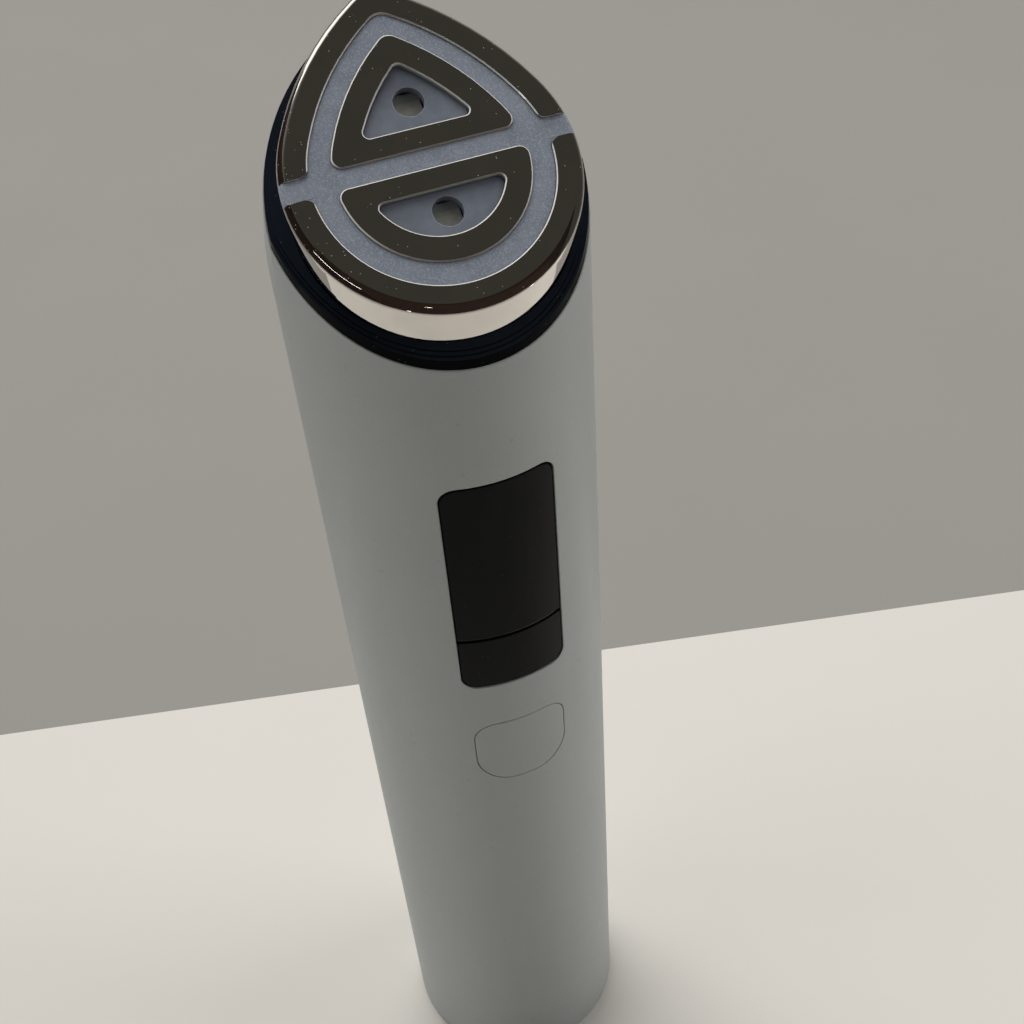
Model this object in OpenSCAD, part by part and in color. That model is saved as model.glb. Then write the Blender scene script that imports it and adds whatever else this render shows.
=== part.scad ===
// Hand-held facial toning device: an upright round grip whose sloping head carries
// four bare metal electrodes round a frosted light guide. Millimetres, +Z up, the
// front towards -Y, and the origin on the grip's axis at the centre of its base.
// "Rim" frame: origin where the axis meets the sloping rim, X across, Y up the slope
// and Z square to the slope, out of the head.

/* [Grip] */
// Outside diameter of the grip
body_d = 31; // [28:0.5:34]
// Height of the sloping rim, measured on the grip's axis
rim_h = 145.7; // [132:0.1:160]
// Slope of the rim and of the head's face, in degrees
tilt = 34.5; // [28:0.5:38]
// Wall of the grip tube
wall = 1.6; // [1.2:0.1:2]
// Radius of the tube's bottom edge
foot_edge = 0.6; // [0.2:0.1:1.2]
// How much larger than the grip's is the radius of the two shaved flanks that bring the
// rim to a point at the back
flank_extra = 7.9; // [7.4:0.1:10]
// How far the flanks' widest line lies inside the grip's outside
flank_in = 0.1; // [0.04:0.02:0.2]
// Distance of the flanks' centres down the slope
flank_y = 4; // [3.6:0.1:4.6]
// Depth below the rim over which the flanks are shaved
flank_depth = 12; // [8:0.5:16]

/* [Head] */
// How far the head's round front end lies inside the grip's outside
head_inset = 1.7; // [1.5:0.05:2.5]
// Distance of the round end's centre down the slope
head_drop = 1.57; // [0:0.05:3]
// How much larger than the round end's is the radius of the head's long sides
side_extra = 15.7; // [13:0.1:20]
// Angle above the widest line at which the round end turns into the sides, in degrees
side_turn = 25.5; // [15:0.5:35]
// Radius of the head's point
nose_r = 2; // [1:0.1:3]
// Height of the face above the rim
face_h = 5.85; // [5:0.05:8]
// Radius of the edge between face and skirt
edge_r = 0.95; // [0.3:0.05:1.4]
// How far the foot of the skirt lies down the slope from its top
skirt_lean = 2.1; // [0:0.1:2.5]
// How much smaller than its top the foot of the skirt is, all round
skirt_taper = 1; // [0:0.05:1.3]
// Thickness of the electrodes' skirt
skirt_t = 0.8; // [0.6:0.1:1.2]
// Thickness of the electrodes' face plate
plate_t = 1.2; // [0.8:0.1:1.6]
// Width of the outer electrodes' face
band_w = 2.7; // [2:0.1:3.5]
// Width of the inner electrodes' face
inner_w = 2.45; // [1.8:0.05:3]
// Half width of the two windows inside the inner electrodes
light_r = 6.5; // [5.8:0.1:7.2]
// Width of the light guide's bar between the two halves of the head
bar_w = 2.1; // [1.2:0.1:3]
// Distance of the bar's centre line down the slope
bar_drop = 0.52; // [-1:0.02:2]
// How much narrower the bar is between the inner electrodes
bar_step = 0.2; // [0:0.05:0.4]
// Rounding of the outer electrodes' ends
end_r = 1; // [0.5:0.1:1.3]
// Rounding of the inner electrodes' corners
corner_r = 0.95; // [0.4:0.05:1.2]
// Rounding of the upper window's point
point_r = 0.8; // [0.4:0.05:1.2]
// How far up the slope the upper inner electrode and its window are moved
arch_rise = 0.4; // [0:0.02:0.6]
// Width of the inner electrodes along the bar
cross_w = 2.15; // [1.6:0.05:2.6]
// Rounding of the windows' corners
window_corner_r = 0.55; // [0.5:0.05:1.3]
// Width of the ledge each window rests on
ledge_w = 0.6; // [0.4:0.1:0.8]
// Bevel of the electrodes' inner edges
bevel = 0.12; // [0.05:0.01:0.2]
// Depth of the light guide's surface below the electrodes
glow_sink = 0.22; // [0.1:0.02:0.4]
// Depth of the two windows below the electrodes
window_sink = 0.45; // [0.4:0.05:1.15]
// Gap between the windows and their pockets
window_gap = 0.06; // [0.05:0.01:0.12]
// Diameter of the light hole in each window
lamp_hole_d = 2.9; // [2:0.1:3.2]
// Distance of the upper light hole from its window's straight edge
lamp_up = 2.72; // [2.2:0.02:3]
// Distance of the lower light hole from its window's straight edge
lamp_down = 2.08; // [1.9:0.02:2.4]
// Side of each light chip
lamp_w = 2.6; // [1.2:0.1:2.7]
// Gap between the light chips and the windows above them
lamp_gap = 0.05; // [0.03:0.01:0.2]
// Height of the light board's underside above the rim
neck_h = 2.3; // [2:0.05:2.4]
// Thickness of the light board
lamp_board_t = 1; // [0.8:0.1:1.1]
// Gap between the light board and the electrodes' skirt
lamp_board_gap = 0.45; // [0.4:0.05:0.8]
// Thickness of the window plates
window_t = 0.9; // [0.6:0.05:1]
// Diameter of the contact pins under the electrodes
pin_d = 0.8; // [0.5:0.1:1]

/* [Bezel ring] */
// Inset of the ring from the grip's outside
ring_inset = 0.1; // [0.05:0.05:0.3]
// Height of the ring's outer wall
ring_h = 0.9; // [0.5:0.1:1.2]
// Width of each of the ring's steps
ring_step_w = 0.25; // [0.1:0.05:0.4]
// Height of each of the ring's steps
ring_step_h = 0.2; // [0.1:0.05:0.3]
// Number of steps
ring_steps = 2; // [1:1:2]
// Gap between the ring and the electrodes' skirt
ring_gap = 0.12; // [0.05:0.01:0.2]

/* [Display and keys] */
// Width of the display opening
window_w = 12.36; // [10:0.02:12.9]
// Distance of the display opening's upper edge below the rim
window_drop = 24.9; // [24:0.1:28]
// Height of the display opening
window_h = 30.7; // [28:0.1:32]
// Rounding of the display opening
window_r = 1.8; // [1:0.1:2.5]
// Height of the mode key below the display lens
mode_h = 7.95; // [6:0.05:10]
// Width of the power key's opening
power_w = 11.3; // [9:0.1:12.3]
// Distance of the power key's lower edge below the display opening's
power_drop = 17.8; // [15:0.1:19]
// Height of the power key's opening
power_h = 11; // [9:0.1:12]
// Rounding of the power key's upper corners
power_top_r = 2.7; // [1:0.1:3.5]
// Rounding of the power key's lower corners
power_low_r = 4.4; // [2:0.1:4.5]
// Gap round the mode key and beside the lens
key_gap = 0.14; // [0.08:0.01:0.25]
// Gap above the lens
lens_top_gap = 0.3; // [0.1:0.02:0.4]
// Width of the seam between the lens and the mode key
seam_w = 0.36; // [0.1:0.02:0.5]
// Gap round the power key
power_gap = 0.08; // [0.06:0.01:0.25]
// Distance of the lens and the mode key below the grip's surface
lens_sink = 0.12; // [0:0.01:0.2]
// Thickness of the display lens
lens_t = 1.6; // [1:0.1:1.8]
// Thickness of the flange that holds a key in behind the tube
flange_t = 0.6; // [0.4:0.1:0.8]
// How far the flange reaches past the key's sides
flange_w = 0.8; // [0.5:0.1:0.9]
// Travel of the keys
key_travel = 0.35; // [0.2:0.01:0.4]
// Diameter of the post behind each key
post_d = 3; // [2:0.1:4]
// Side of each key switch
switch_w = 5.2; // [4:0.1:6]
// Height of each key switch
switch_t = 1.5; // [1.2:0.1:1.6]
// Diameter of each switch's plunger
plunger_d = 2.4; // [1.5:0.1:3]
// How far each plunger stands out of its switch
plunger_out = 0.75; // [0.5:0.05:0.9]

// Distance of the display module's ends inside the lens's
screen_end = 1.5; // [1:0.1:4]
// How much narrower than its opening the display module is, on each side
screen_inset = 0.7; // [0.6:0.05:1.5]
// Thickness of the display module
screen_t = 1.5; // [1:0.1:1.8]
// Depth of the display module's front behind the grip's bore
screen_drop = 1.7; // [1.6:0.05:1.9]
// Thickness of the frame behind the lens
frame_t = 1.4; // [1:0.1:1.8]
// Overlap of the frame behind the lens past the opening's sides
frame_side = 1.8; // [1.4:0.1:2]
// Thickness of the rubber sheet behind the keys
seal_t = 0.4; // [0.3:0.05:0.6]
// Depth of the rubber sheet behind the grip's bore
seal_drop = 1.3; // [1.25:0.05:1.4]
// Overlap of the frame behind the lens past the opening's top
frame_rim = 2; // [1:0.1:2.4]
// Width of the rubber sheet's border
seal_rim = 1; // [0.6:0.1:1.1]

/* [Inside] */
// Gap between the main board's front and the rubber sheet behind the keys
seal_gap = 0.115; // [0.1:0.005:0.5]
// Gap between the main board's edges and the grip's bore
board_gap = 0.3; // [0.2:0.05:0.8]
// Thickness of the main board
board_t = 1; // [0.8:0.1:1.2]
// Distance of the main board's lower edge above the chassis's lower disc
board_rise = 3; // [1:0.5:6]
// Room kept between the chips on the main board
chip_gap = 1.5; // [1:0.1:3]
// Length of the switches' legs
leg_l = 0.8; // [0.5:0.1:1.2]
// Thickness of the switches' legs
leg_t = 0.3; // [0.2:0.05:0.4]
// Thickness of the chips
chip_t = 0.9; // [0.6:0.1:1.2]
// Number of chips
chip_n = 4; // [2:1:4]
// Room above the main board
board_room = 2.5; // [2:0.1:4]
// Thickness of the chassis plate behind the board
chassis_t = 1.2; // [1:0.1:1.4]
// Height of the chassis's lower disc
chassis_z = 24; // [23:0.5:26]
// Thickness of the chassis's end discs
disc_t = 2; // [1.5:0.1:2.5]
// Gap between the chassis plate's edges and the grip's bore
plate_gap = 0.8; // [0.5:0.1:1.5]
// Gap between the screw posts and the base cap's collar
post_gap = 0.3; // [0.2:0.05:0.5]
// Distance of the screw posts behind the axis
post_y = 4; // [3.5:0.1:4.5]
// Diameter of the screw posts
post_w = 4.2; // [4:0.1:4.6]
// Length of the carrier below the rim's lowest point
carrier_l = 6.5; // [6:0.1:8]
// Wall of the head carrier
carrier_t = 1.5; // [1.2:0.1:1.8]
// Thickness of the seal ring
oring_d = 1; // [0.8:0.05:1.2]
// Thickness of the battery's metal tabs
tab_t = 0.2; // [0.1:0.05:0.3]
// Width of the battery's metal tabs
tab_w = 5; // [4:0.5:7]
// Width of the ribbon cable to the light board
flex_w = 6; // [4:0.5:8]
// Thickness of the ribbon cable
flex_t = 0.2; // [0.15:0.05:0.3]
// Gap between the battery cell and the grip's bore
cell_gap = 1.28; // [1:0.02:2.5]
// Length of the battery cell
cell_l = 65; // [55:0.5:72]
// Bevel of the battery cell's ends
cell_edge = 1.2; // [0.4:0.1:2]
// Half width of the battery pad
pad_x = 5; // [3:0.5:6]
// Thickness of the pad between battery and chassis
pad_t = 1.2; // [0.6:0.1:1.4]
// Diameter of the vibration motor
motor_d = 7; // [6:0.1:8]
// Length of the vibration motor
motor_l = 12; // [10:0.1:13]
// Diameter of the motor's shaft
shaft_d = 0.8; // [0.6:0.1:1.2]
// Running clearance between shaft and bearing, on the radius
shaft_gap = 0.04; // [0.02:0.01:0.08]
// Radius of the eccentric weight
weight_r = 3; // [2:0.1:3.4]
// Length of the eccentric weight
weight_l = 3; // [2:0.1:3.5]
// Room between the motor and its weight
weight_room = 1; // [0.6:0.1:1.5]
// Wall of the rubber block that holds the motor
mount_t = 1; // [0.8:0.1:1.5]
// Diameter of the buzzer
buzzer_d = 9; // [7:0.1:9.5]
// Height of the buzzer
buzzer_h = 3; // [2:0.1:4]
// Diameter of the screws' shanks
screw_d = 1.6; // [1.2:0.1:2]
// Diameter of the screws' heads
screw_head_d = 3; // [2.6:0.1:3.4]
// Height of the screws' heads
screw_head_h = 1; // [0.8:0.1:1.2]
// Width of the screws' cross recess
recess_w = 0.5; // [0.3:0.05:0.6]
// Length of the screws that hold the head and the base
screw_l = 8; // [6:0.5:8]
// Clearance of a screw in its hole, on the radius
screw_gap = 0.03; // [0.01:0.01:0.08]

/* [Base] */
// Thickness of the base cap's flange
cap_flange = 2.75; // [2.6:0.05:3.2]
// Depth of the counterbore that takes the flange into the wall
cap_step = 0.5; // [0.3:0.05:0.8]
// Width of the cap's upright collar
collar_w = 1.5; // [1:0.1:2]
// Height of the collar above the flange
collar_h = 3; // [2:0.1:4]
// Distance of the rubber foot's outer edge inside the base cap's
pad_inset = 2.28; // [1.8:0.02:2.6]
// Width of the rubber foot
pad_w = 4.5; // [4.2:0.1:5]
// Thickness of the rubber foot
pad_h = 1; // [0.8:0.1:1.2]
// Depth of the cap's underside above the table
cap_lift = 0.25; // [0.1:0.05:0.4]
// Width of the charging socket's shell
usb_w = 8.94; // [8.94]
// Thickness of the charging socket's shell
usb_t = 3.26; // [3.26]
// Length of the charging socket's shell
usb_l = 7.35; // [7.35]
// Sheet thickness of the charging socket's shell
usb_wall = 0.3; // [0.2:0.05:0.35]
// Thickness of the contact tongue in the socket
tongue_t = 0.7; // [0.7]
// Thickness of the charging board
charge_t = 1; // [0.8:0.1:1.2]
// Gap between the charging board's edges and the screw posts
charge_gap = 0.4; // [0.3:0.1:1]

/* [Fits] */
// Gap between fixed pieces that slide together
fit_gap = 0.12; // [0.08:0.01:0.2]
// Smaller gap between the light guide and the electrodes
guide_gap = 0.03; // [0.02:0.01:0.06]
// Running clearance of the switch plungers, on the radius
plunger_gap = 0.05; // [0.03:0.01:0.08]
// Free room past the end of each screw
screw_room = 0.4; // [0.2:0.1:0.6]

/* [Hidden] */
$fn = 64;

body_r = body_d / 2;
bore_r = body_r - wall;
reach = 2 * body_d;
tall = rim_h + body_d;
hair = 0.01;
outline_fn = 96;
edge_steps = 6;

shell_white = [0.90, 0.91, 0.92];
gloss_black = [0.03, 0.03, 0.04];
navy_black = [0.04, 0.05, 0.10];
mirror_chrome = [0.80, 0.79, 0.80];
frosted_blue = [0.55, 0.61, 0.70];
window_blue = [0.42, 0.48, 0.58];
board_green = [0.05, 0.30, 0.16];
chip_black = [0.08, 0.08, 0.09];
steel = [0.70, 0.71, 0.73];
nickel = [0.78, 0.76, 0.70];
gold = [0.85, 0.68, 0.30];
rubber_grey = [0.25, 0.26, 0.28];
frame_grey = [0.35, 0.36, 0.38];
cell_blue = [0.15, 0.35, 0.60];
amber = [0.65, 0.42, 0.12];

// Sizes that follow the grip's radius and the display opening
flank_r = body_r + flank_extra;
flank_x = flank_extra + flank_in;
head_r = body_r - head_inset;
side_r = head_r + side_extra;
screen_w = window_w - 2 * screen_inset;
frame_x = window_w / 2 + frame_side;

// Key and display heights, and depths behind the front
window_top = rim_h - window_drop;
window_z = window_top - window_h;
power_z = window_z - power_drop;
seam_z = window_z + mode_h;
mode_mid_z = window_z + mode_h / 2;
power_mid_z = power_z + power_h / 2;
screen_z = seam_z + screen_end;
screen_h = window_top - seam_z - 2 * screen_end;
screen_y = bore_r - screen_drop;
seal_r = bore_r - seal_drop;
frame_r = body_r - lens_sink - lens_t - fit_gap / 2;
flange_r = bore_r - fit_gap;
seal_in = window_w / 2 + flange_w + 2 * fit_gap;
seal_x = seal_in + seal_rim;
board_y = sqrt(pow(seal_r - seal_t, 2) - seal_x * seal_x) - seal_gap;
plunger_y = board_y + switch_t + plunger_out;

// Stack of pieces on the rim, as heights above it
ring_top = ring_h + ring_steps * ring_step_h;
edge_h = face_h - edge_r;
plate_h = face_h - plate_t;
glow_h = face_h - glow_sink;
guide_h = neck_h + lamp_board_t;
window_top_h = face_h - window_sink;
window_low_h = window_top_h - window_t;
lamp_t = window_low_h - guide_h - lamp_gap;

// Insets of the face's bands from the head's widest outline
window_in = head_r - light_r;
inner_in = window_in - inner_w;

// Lines across the face
bar_low = -bar_drop - bar_w / 2;
bar_high = -bar_drop + bar_w / 2;
bowl_top = bar_low + bar_step / 2;
arch_low = bar_high - bar_step / 2;
arch_window_y = arch_low + cross_w;
bowl_window_y = bowl_top - cross_w;
bar_end_x = head_r - skirt_taper - skirt_t;
side_x = side_extra * cos(side_turn);
side_y = -head_drop - side_extra * sin(side_turn);

// Inside of the grip
chassis_y = board_y - board_t - fit_gap;
chassis_back = chassis_y - chassis_t;
carrier_z = rim_h - body_r * tan(tilt) - carrier_l;
carrier_inset = wall + fit_gap;
carrier_r = bore_r - fit_gap;
chassis_top = carrier_z - disc_t;
board_w = 2 * sqrt(pow(bore_r - board_gap, 2) - board_y * board_y);
board_z = chassis_z + disc_t + board_rise;
board_top = chassis_top - board_room;
chassis_w = 2 * sqrt(pow(bore_r - plate_gap, 2) - chassis_y * chassis_y);
post_from_axis = carrier_r - collar_w - post_gap - post_w / 2;
post_x = sqrt(post_from_axis * post_from_axis - post_y * post_y);
cell_d = bore_r - cell_gap + chassis_back - pad_t;
cell_y = -chassis_back + pad_t + cell_d / 2;

// Battery, motor and weight share the height between the chassis's discs
stack_h = cell_l + motor_l + weight_room + weight_l + shaft_d;
stack_room = (chassis_top - chassis_z - disc_t - stack_h) / 3;
cell_z = chassis_z + disc_t + stack_room;
cell_top = cell_z + cell_l;
motor_z = cell_top + stack_room;
motor_top = motor_z + motor_l;
weight_z = motor_top + weight_room;
cap_z = cap_lift + cap_flange;
base_head_z = pad_h + guide_gap;
head_screw_z = chassis_top - screw_head_h;
board_screw_l = board_t + fit_gap + chassis_t / 2;
usb_z = cap_lift + fit_gap;
cap_r = bore_r + cap_step - fit_gap;
pad_d = 2 * (cap_r - pad_inset);
pad_bore = pad_d - 2 * pad_w;
charge_w = 2 * (post_x - post_w / 2 - charge_gap);
charge_z = cap_z + fit_gap;
oring_z = carrier_z + 2 * oring_d;
oring_mid = bore_r - oring_d / 2 - fit_gap / 3;
slot_w = flex_w + 4 * fit_gap;
slot_t = flex_t + 4 * fit_gap;
flex_low = screen_z + screen_h + 2 * fit_gap;

// Share of the skirt's lean and taper that is left at height h: 1 at its foot
function skirt_share(h) = max(edge_h - h, 0) / edge_h;
function lean_at(h) = -skirt_lean * skirt_share(h);
function taper_at(h) = skirt_taper * skirt_share(h);

// The head's outline: nose radius, nose centre and the ends of the long sides
function nose_at(inset) = nose_r + (point_r - nose_r) * inset / window_in;
function nose_y(inset) =
    side_y + sqrt(pow(side_r - inset - nose_at(inset), 2) - side_x * side_x);
function side_low(inset) = -head_drop + (head_r - inset) * sin(side_turn);
function side_high(inset) =
    side_y + (nose_y(inset) - side_y) * (side_r - inset) / (side_r - inset - nose_at(inset));

// Centre of the circle an inset outline has at height y, its radius, and points on it
function on_round(inset, y, r) = y + head_drop < (head_r - inset - r) * sin(side_turn);
function arc_mid(inset, y, r) = on_round(inset, y, r) ? [0, -head_drop] : [-side_x, side_y];
function arc_r(inset, y, r) = on_round(inset, y, r) ? head_r - inset : side_r - inset;
function corner_at(inset, y, r) =
    let (mid = arc_mid(inset, y, r), near = arc_r(inset, y, r) - r)
    [mid[0] + sqrt(near * near - pow(y - mid[1], 2)), y];
function touch_at(inset, y, r) =
    let (mid = arc_mid(inset, y, r), far = arc_r(inset, y, r))
    mid + (corner_at(inset, y, r) - mid) * far / (far - r);

// ---- frames and cuts ----

module rim_frame() {
    translate([0, 0, rim_h])
        rotate([tilt, 0, 0])
            children();
}

module slab(low, high) {
    rim_frame()
        translate([-reach, -reach, low])
            cube([2 * reach, 2 * reach, high - low]);
}

module both_sides() {
    children();
    mirror([1, 0, 0])
        children();
}

module to_front(low) {
    translate([0, 0, low])
        rotate([90, 0, 0])
            linear_extrude(reach)
                children();
}

module front_block(half_w, low, high) {
    translate([-half_w, -reach, low])
        cube([2 * half_w, reach, high - low]);
}

module along_y(d, near, far) {
    translate([0, -near, 0])
        rotate([90, 0, 0])
            cylinder(d = d, h = far - near);
}

module round_rect(w, h, low_r, top_r) {
    for (side = [-1, 1]) {
        translate([side * (w / 2 - low_r), low_r])
            circle(low_r);
        translate([side * (w / 2 - top_r), h - top_r])
            circle(top_r);
    }
    translate([-w / 2, low_r])
        square([w, h - low_r - top_r]);
    translate([low_r - w / 2, 0])
        square([w - 2 * low_r, h / 2]);
    translate([top_r - w / 2, h / 2])
        square([w - 2 * top_r, h / 2]);
}

module stadium(w, t) {
    square([w - t, t], center = true);
    for (side = [-1, 1])
        translate([side * (w - t) / 2, 0])
            circle(d = t);
}

module arc_shell(outer_r, thickness, low, high) {
    translate([0, 0, low])
        difference() {
            cylinder(r = outer_r, h = high - low);
            translate([0, 0, -hair])
                cylinder(r = outer_r - thickness, h = high - low + 2 * hair);
        }
}

// ---- the grip's form ----

module flank(inset, side) {
    translate([side * flank_x, -flank_y, 0])
        cylinder(r = flank_r - inset, h = reach);
}

module grip_form(inset, low, high) {
    difference() {
        translate([0, 0, low])
            cylinder(r = body_r - inset, h = high - low);
        rim_frame()
            translate([0, 0, -flank_depth])
                difference() {
                    translate([-reach, -flank_y, 0])
                        cube([2 * reach, reach, reach - hair]);
                    intersection() {
                        flank(inset, -1);
                        flank(inset, 1);
                    }
                }
    }
}

module foot_rounding() {
    rotate_extrude()
        difference() {
            translate([body_r - foot_edge, -hair])
                square([foot_edge + 1, foot_edge + hair]);
            translate([body_r - foot_edge, foot_edge])
                circle(foot_edge);
        }
}

// ---- the head's outlines ----

module teardrop(inset) {
    translate([0, -head_drop])
        circle(head_r - inset);
    intersection() {
        translate([side_x, side_y])
            circle(side_r - inset);
        translate([-side_x, side_y])
            circle(side_r - inset);
        translate([-reach, side_low(inset)])
            square([2 * reach, side_high(inset) - side_low(inset)]);
    }
    translate([0, nose_y(inset)])
        circle(nose_at(inset));
}

// Straight edge with rounded corners, reaching inwards to the point at inner_y
module corners(inset, edge_y, y, r, inner_y) {
    at = corner_at(inset, y, r);
    touch = touch_at(inset, y, r);
    both_sides()
        translate(at)
            circle(r);
    polygon([
        [-at[0], edge_y], [at[0], edge_y], touch, [0, inner_y], [-touch[0], touch[1]]
    ]);
}

module arch(inset, low, r) {
    start = low - arch_rise;
    translate([0, arch_rise]) {
        corners(inset, start, start + r, r, nose_y(inset));
        intersection() {
            teardrop(inset);
            translate([-reach, touch_at(inset, start + r, r)[1]])
                square([2 * reach, reach]);
        }
    }
}

module bowl(inset, high, r) {
    corners(inset, high, high - r, r, inset - head_drop - head_r + r);
    intersection() {
        teardrop(inset);
        translate([-reach, touch_at(inset, high - r, r)[1] - reach])
            square([2 * reach, reach]);
    }
}

// Rounded-off inner ends of the outer electrodes; side 1 is up the slope
module end_rounding(side, gap) {
    edge = side > 0 ? bar_high : bar_low;
    y = edge + side * end_r;
    at = corner_at(band_w, y, -end_r);
    touch = touch_at(band_w, y, -end_r);
    both_sides()
        difference() {
            polygon([[at[0], edge], touch, [touch[0], edge]]);
            translate(at)
                circle(end_r + gap);
        }
}

// The outline's hole widening by the bevel over the bevel's height
module teardrop_flare(inset) {
    hull()
        for (h = [0, bevel])
            translate([0, 0, h])
                linear_extrude(hair)
                    teardrop(inset - h, $fn = outline_fn);
}

module head_slice(h, inset) {
    translate([0, lean_at(h), h])
        linear_extrude(hair)
            teardrop(inset, $fn = outline_fn);
}

// Leaning solid inside the skirt's outside by inset, or outside it if negative
module skirt_solid(inset, low, high) {
    hull() {
        head_slice(low, taper_at(low) + inset);
        head_slice(high - hair, taper_at(high) + inset);
    }
}

module head_outside() {
    hull() {
        head_slice(0, skirt_taper);
        for (i = [0 : edge_steps])
            let (a = i * 90 / edge_steps)
                head_slice(edge_h + edge_r * sin(a) - hair, edge_r * (1 - cos(a)));
    }
}

// Upright plate that clears the skirt's inside by gap
module cavity_plate(low, high, gap) {
    mid = (low + high) / 2;
    translate([0, lean_at(mid), low])
        linear_extrude(high - low)
            teardrop(skirt_t + taper_at(low) + lean_at(mid) - lean_at(low) + gap);
}

// ---- small parts that come more than once ----

// Cross-head screw pointing up, its head standing on z = 0 with the recess below
module screw(length) {
    difference() {
        union() {
            cylinder(d = screw_head_d, h = screw_head_h);
            cylinder(d = screw_d, h = screw_head_h + length);
        }
        for (a = [0, 90])
            rotate([0, 0, a])
                translate([-screw_d / 2, -recess_w / 2, -hair])
                    cube([screw_d, recess_w, screw_head_h / 2]);
    }
}

// Shank hole below z = 0 upwards, the head's own room below it
module screw_hole(length) {
    translate([0, 0, -hair])
        cylinder(r = screw_d / 2 + screw_gap, h = screw_head_h + length);
}

module at_posts() {
    both_sides()
        translate([post_x, post_y, 0])
            children();
}

module at_board_screws() {
    for (z = [board_z + 2 * screw_head_d, power_z - 3 * screw_head_d])
        both_sides()
            translate([board_w / 2 - screw_head_d, -board_y - screw_head_h, z])
                rotate([-90, 0, 0])
                    children();
}

// Square push switch on the main board, with a bore for its plunger
module push_switch(mid_z) {
    difference() {
        union() {
            translate([-switch_w / 2, -board_y - switch_t, mid_z - switch_w / 2])
                cube([switch_w, switch_t, switch_w]);
            for (z = [-1, 1])
                translate([-switch_w / 2 - leg_l, -board_y - leg_t, mid_z + z * switch_w / 3 - leg_t])
                    cube([switch_w + 2 * leg_l, leg_t, 2 * leg_t]);
        }
        translate([0, 0, mid_z])
            along_y(plunger_d + 2 * plunger_gap, board_y + leg_t, board_y + 2 * switch_t);
    }
}

module plunger(mid_z) {
    translate([0, 0, mid_z])
        along_y(plunger_d, plunger_y - switch_t / 2 - plunger_out, plunger_y);
}

// Key cap, its first child the outline, on a flange that its second child bounds
module key(cap_r, mid_z, low, high, flange_high) {
    flange_in_r = flange_r - flange_t;
    intersection() {
        arc_shell(cap_r, cap_r - flange_in_r, low, high);
        children(0);
    }
    intersection() {
        arc_shell(flange_r, flange_t, low - flange_w, flange_high);
        children(1);
    }
    translate([0, 0, mid_z])
        along_y(post_d, plunger_y, flange_r);
}

// ---- grip ----

module grip_tube() {
    color(shell_white)
        difference() {
            grip_form(0, 0, tall);
            slab(0, tall);
            grip_form(wall, -hair, tall);
            translate([0, 0, -hair])
                cylinder(r = bore_r + cap_step, h = cap_z + hair);
            foot_rounding();
            to_front(window_z)
                round_rect(window_w, window_h, window_r, window_r);
            to_front(power_z)
                round_rect(power_w, power_h, power_low_r, power_top_r);
        }
}

module base_cap() {
    color(shell_white)
        difference() {
            union() {
                translate([0, 0, cap_lift])
                    cylinder(r = cap_r, h = cap_flange);
                arc_shell(carrier_r, collar_w, cap_z - hair, cap_z + collar_h);
            }
            difference() {
                cylinder(d = pad_d + 2 * fit_gap, h = pad_h);
                cylinder(d = pad_bore - 2 * fit_gap, h = pad_h);
            }
            linear_extrude(cap_z + collar_h)
                stadium(usb_w + 2 * fit_gap, usb_t + 2 * fit_gap);
            at_posts() {
                cylinder(d = screw_head_d + 2 * fit_gap, h = base_head_z + screw_head_h);
                cylinder(r = screw_d / 2 + screw_gap, h = cap_z + hair);
            }
        }
}

module foot_pad() {
    color(rubber_grey)
        difference() {
            cylinder(d = pad_d, h = pad_h);
            translate([0, 0, -hair])
                cylinder(d = pad_bore, h = pad_h + 2 * hair);
        }
}

module base_screws() {
    color(steel)
        at_posts()
            translate([0, 0, base_head_z])
                screw(screw_l);
}

module charge_board() {
    color(board_green)
        translate([-charge_w / 2, usb_t / 2, charge_z])
            cube([charge_w, charge_t, chassis_z - charge_z]);
}

module usb_shell() {
    color(steel)
        translate([0, 0, usb_z])
            linear_extrude(usb_l)
                difference() {
                    stadium(usb_w, usb_t);
                    stadium(usb_w - 2 * usb_wall, usb_t - 2 * usb_wall);
                }
}

module usb_tongue() {
    inner_w = usb_w - 2 * usb_wall;
    inner_t = usb_t - 2 * usb_wall;
    block_l = usb_l / 5;
    color(chip_black) {
        translate([-(inner_w - inner_t) / 2, -tongue_t / 2, usb_z + tongue_t])
            cube([inner_w - inner_t, tongue_t, usb_l - tongue_t]);
        translate([0, 0, usb_z + usb_l - block_l])
            linear_extrude(block_l)
                stadium(inner_w, inner_t);
    }
}

module chassis() {
    disc_r = bore_r - 2 * fit_gap;
    color(frame_grey)
        difference() {
            union() {
                translate([-chassis_w / 2, -chassis_y, chassis_z])
                    cube([chassis_w, chassis_t, carrier_z - chassis_z]);
                for (z = [chassis_z, chassis_top])
                    translate([0, 0, z])
                        cylinder(r = disc_r, h = disc_t);
                at_posts()
                    translate([0, 0, cap_z])
                        cylinder(d = post_w, h = chassis_z - cap_z + hair);
            }
            at_posts() {
                translate([0, 0, base_head_z])
                    screw_hole(screw_l + screw_room);
                translate([0, 0, head_screw_z])
                    screw_hole(screw_l);
            }
            at_board_screws()
                screw_hole(board_screw_l + screw_room);
            for (z = [cell_z - tab_t, cell_top])
                translate([-tab_w / 2 - fit_gap, -board_y, z - fit_gap])
                    cube([tab_w + 2 * fit_gap, board_y, tab_t + 2 * fit_gap]);
            translate([-slot_w / 2, -board_y - slot_t / 2 - flex_t / 2, chassis_top - hair])
                cube([slot_w, slot_t, disc_t + 2 * hair]);
        }
}

module main_board() {
    color(board_green)
        difference() {
            translate([-board_w / 2, -board_y, board_z])
                cube([board_w, board_t, board_top - board_z]);
            at_board_screws()
                screw_hole(board_screw_l + screw_room);
        }
}

module board_screws() {
    color(steel)
        at_board_screws()
            screw(board_screw_l);
}

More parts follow.
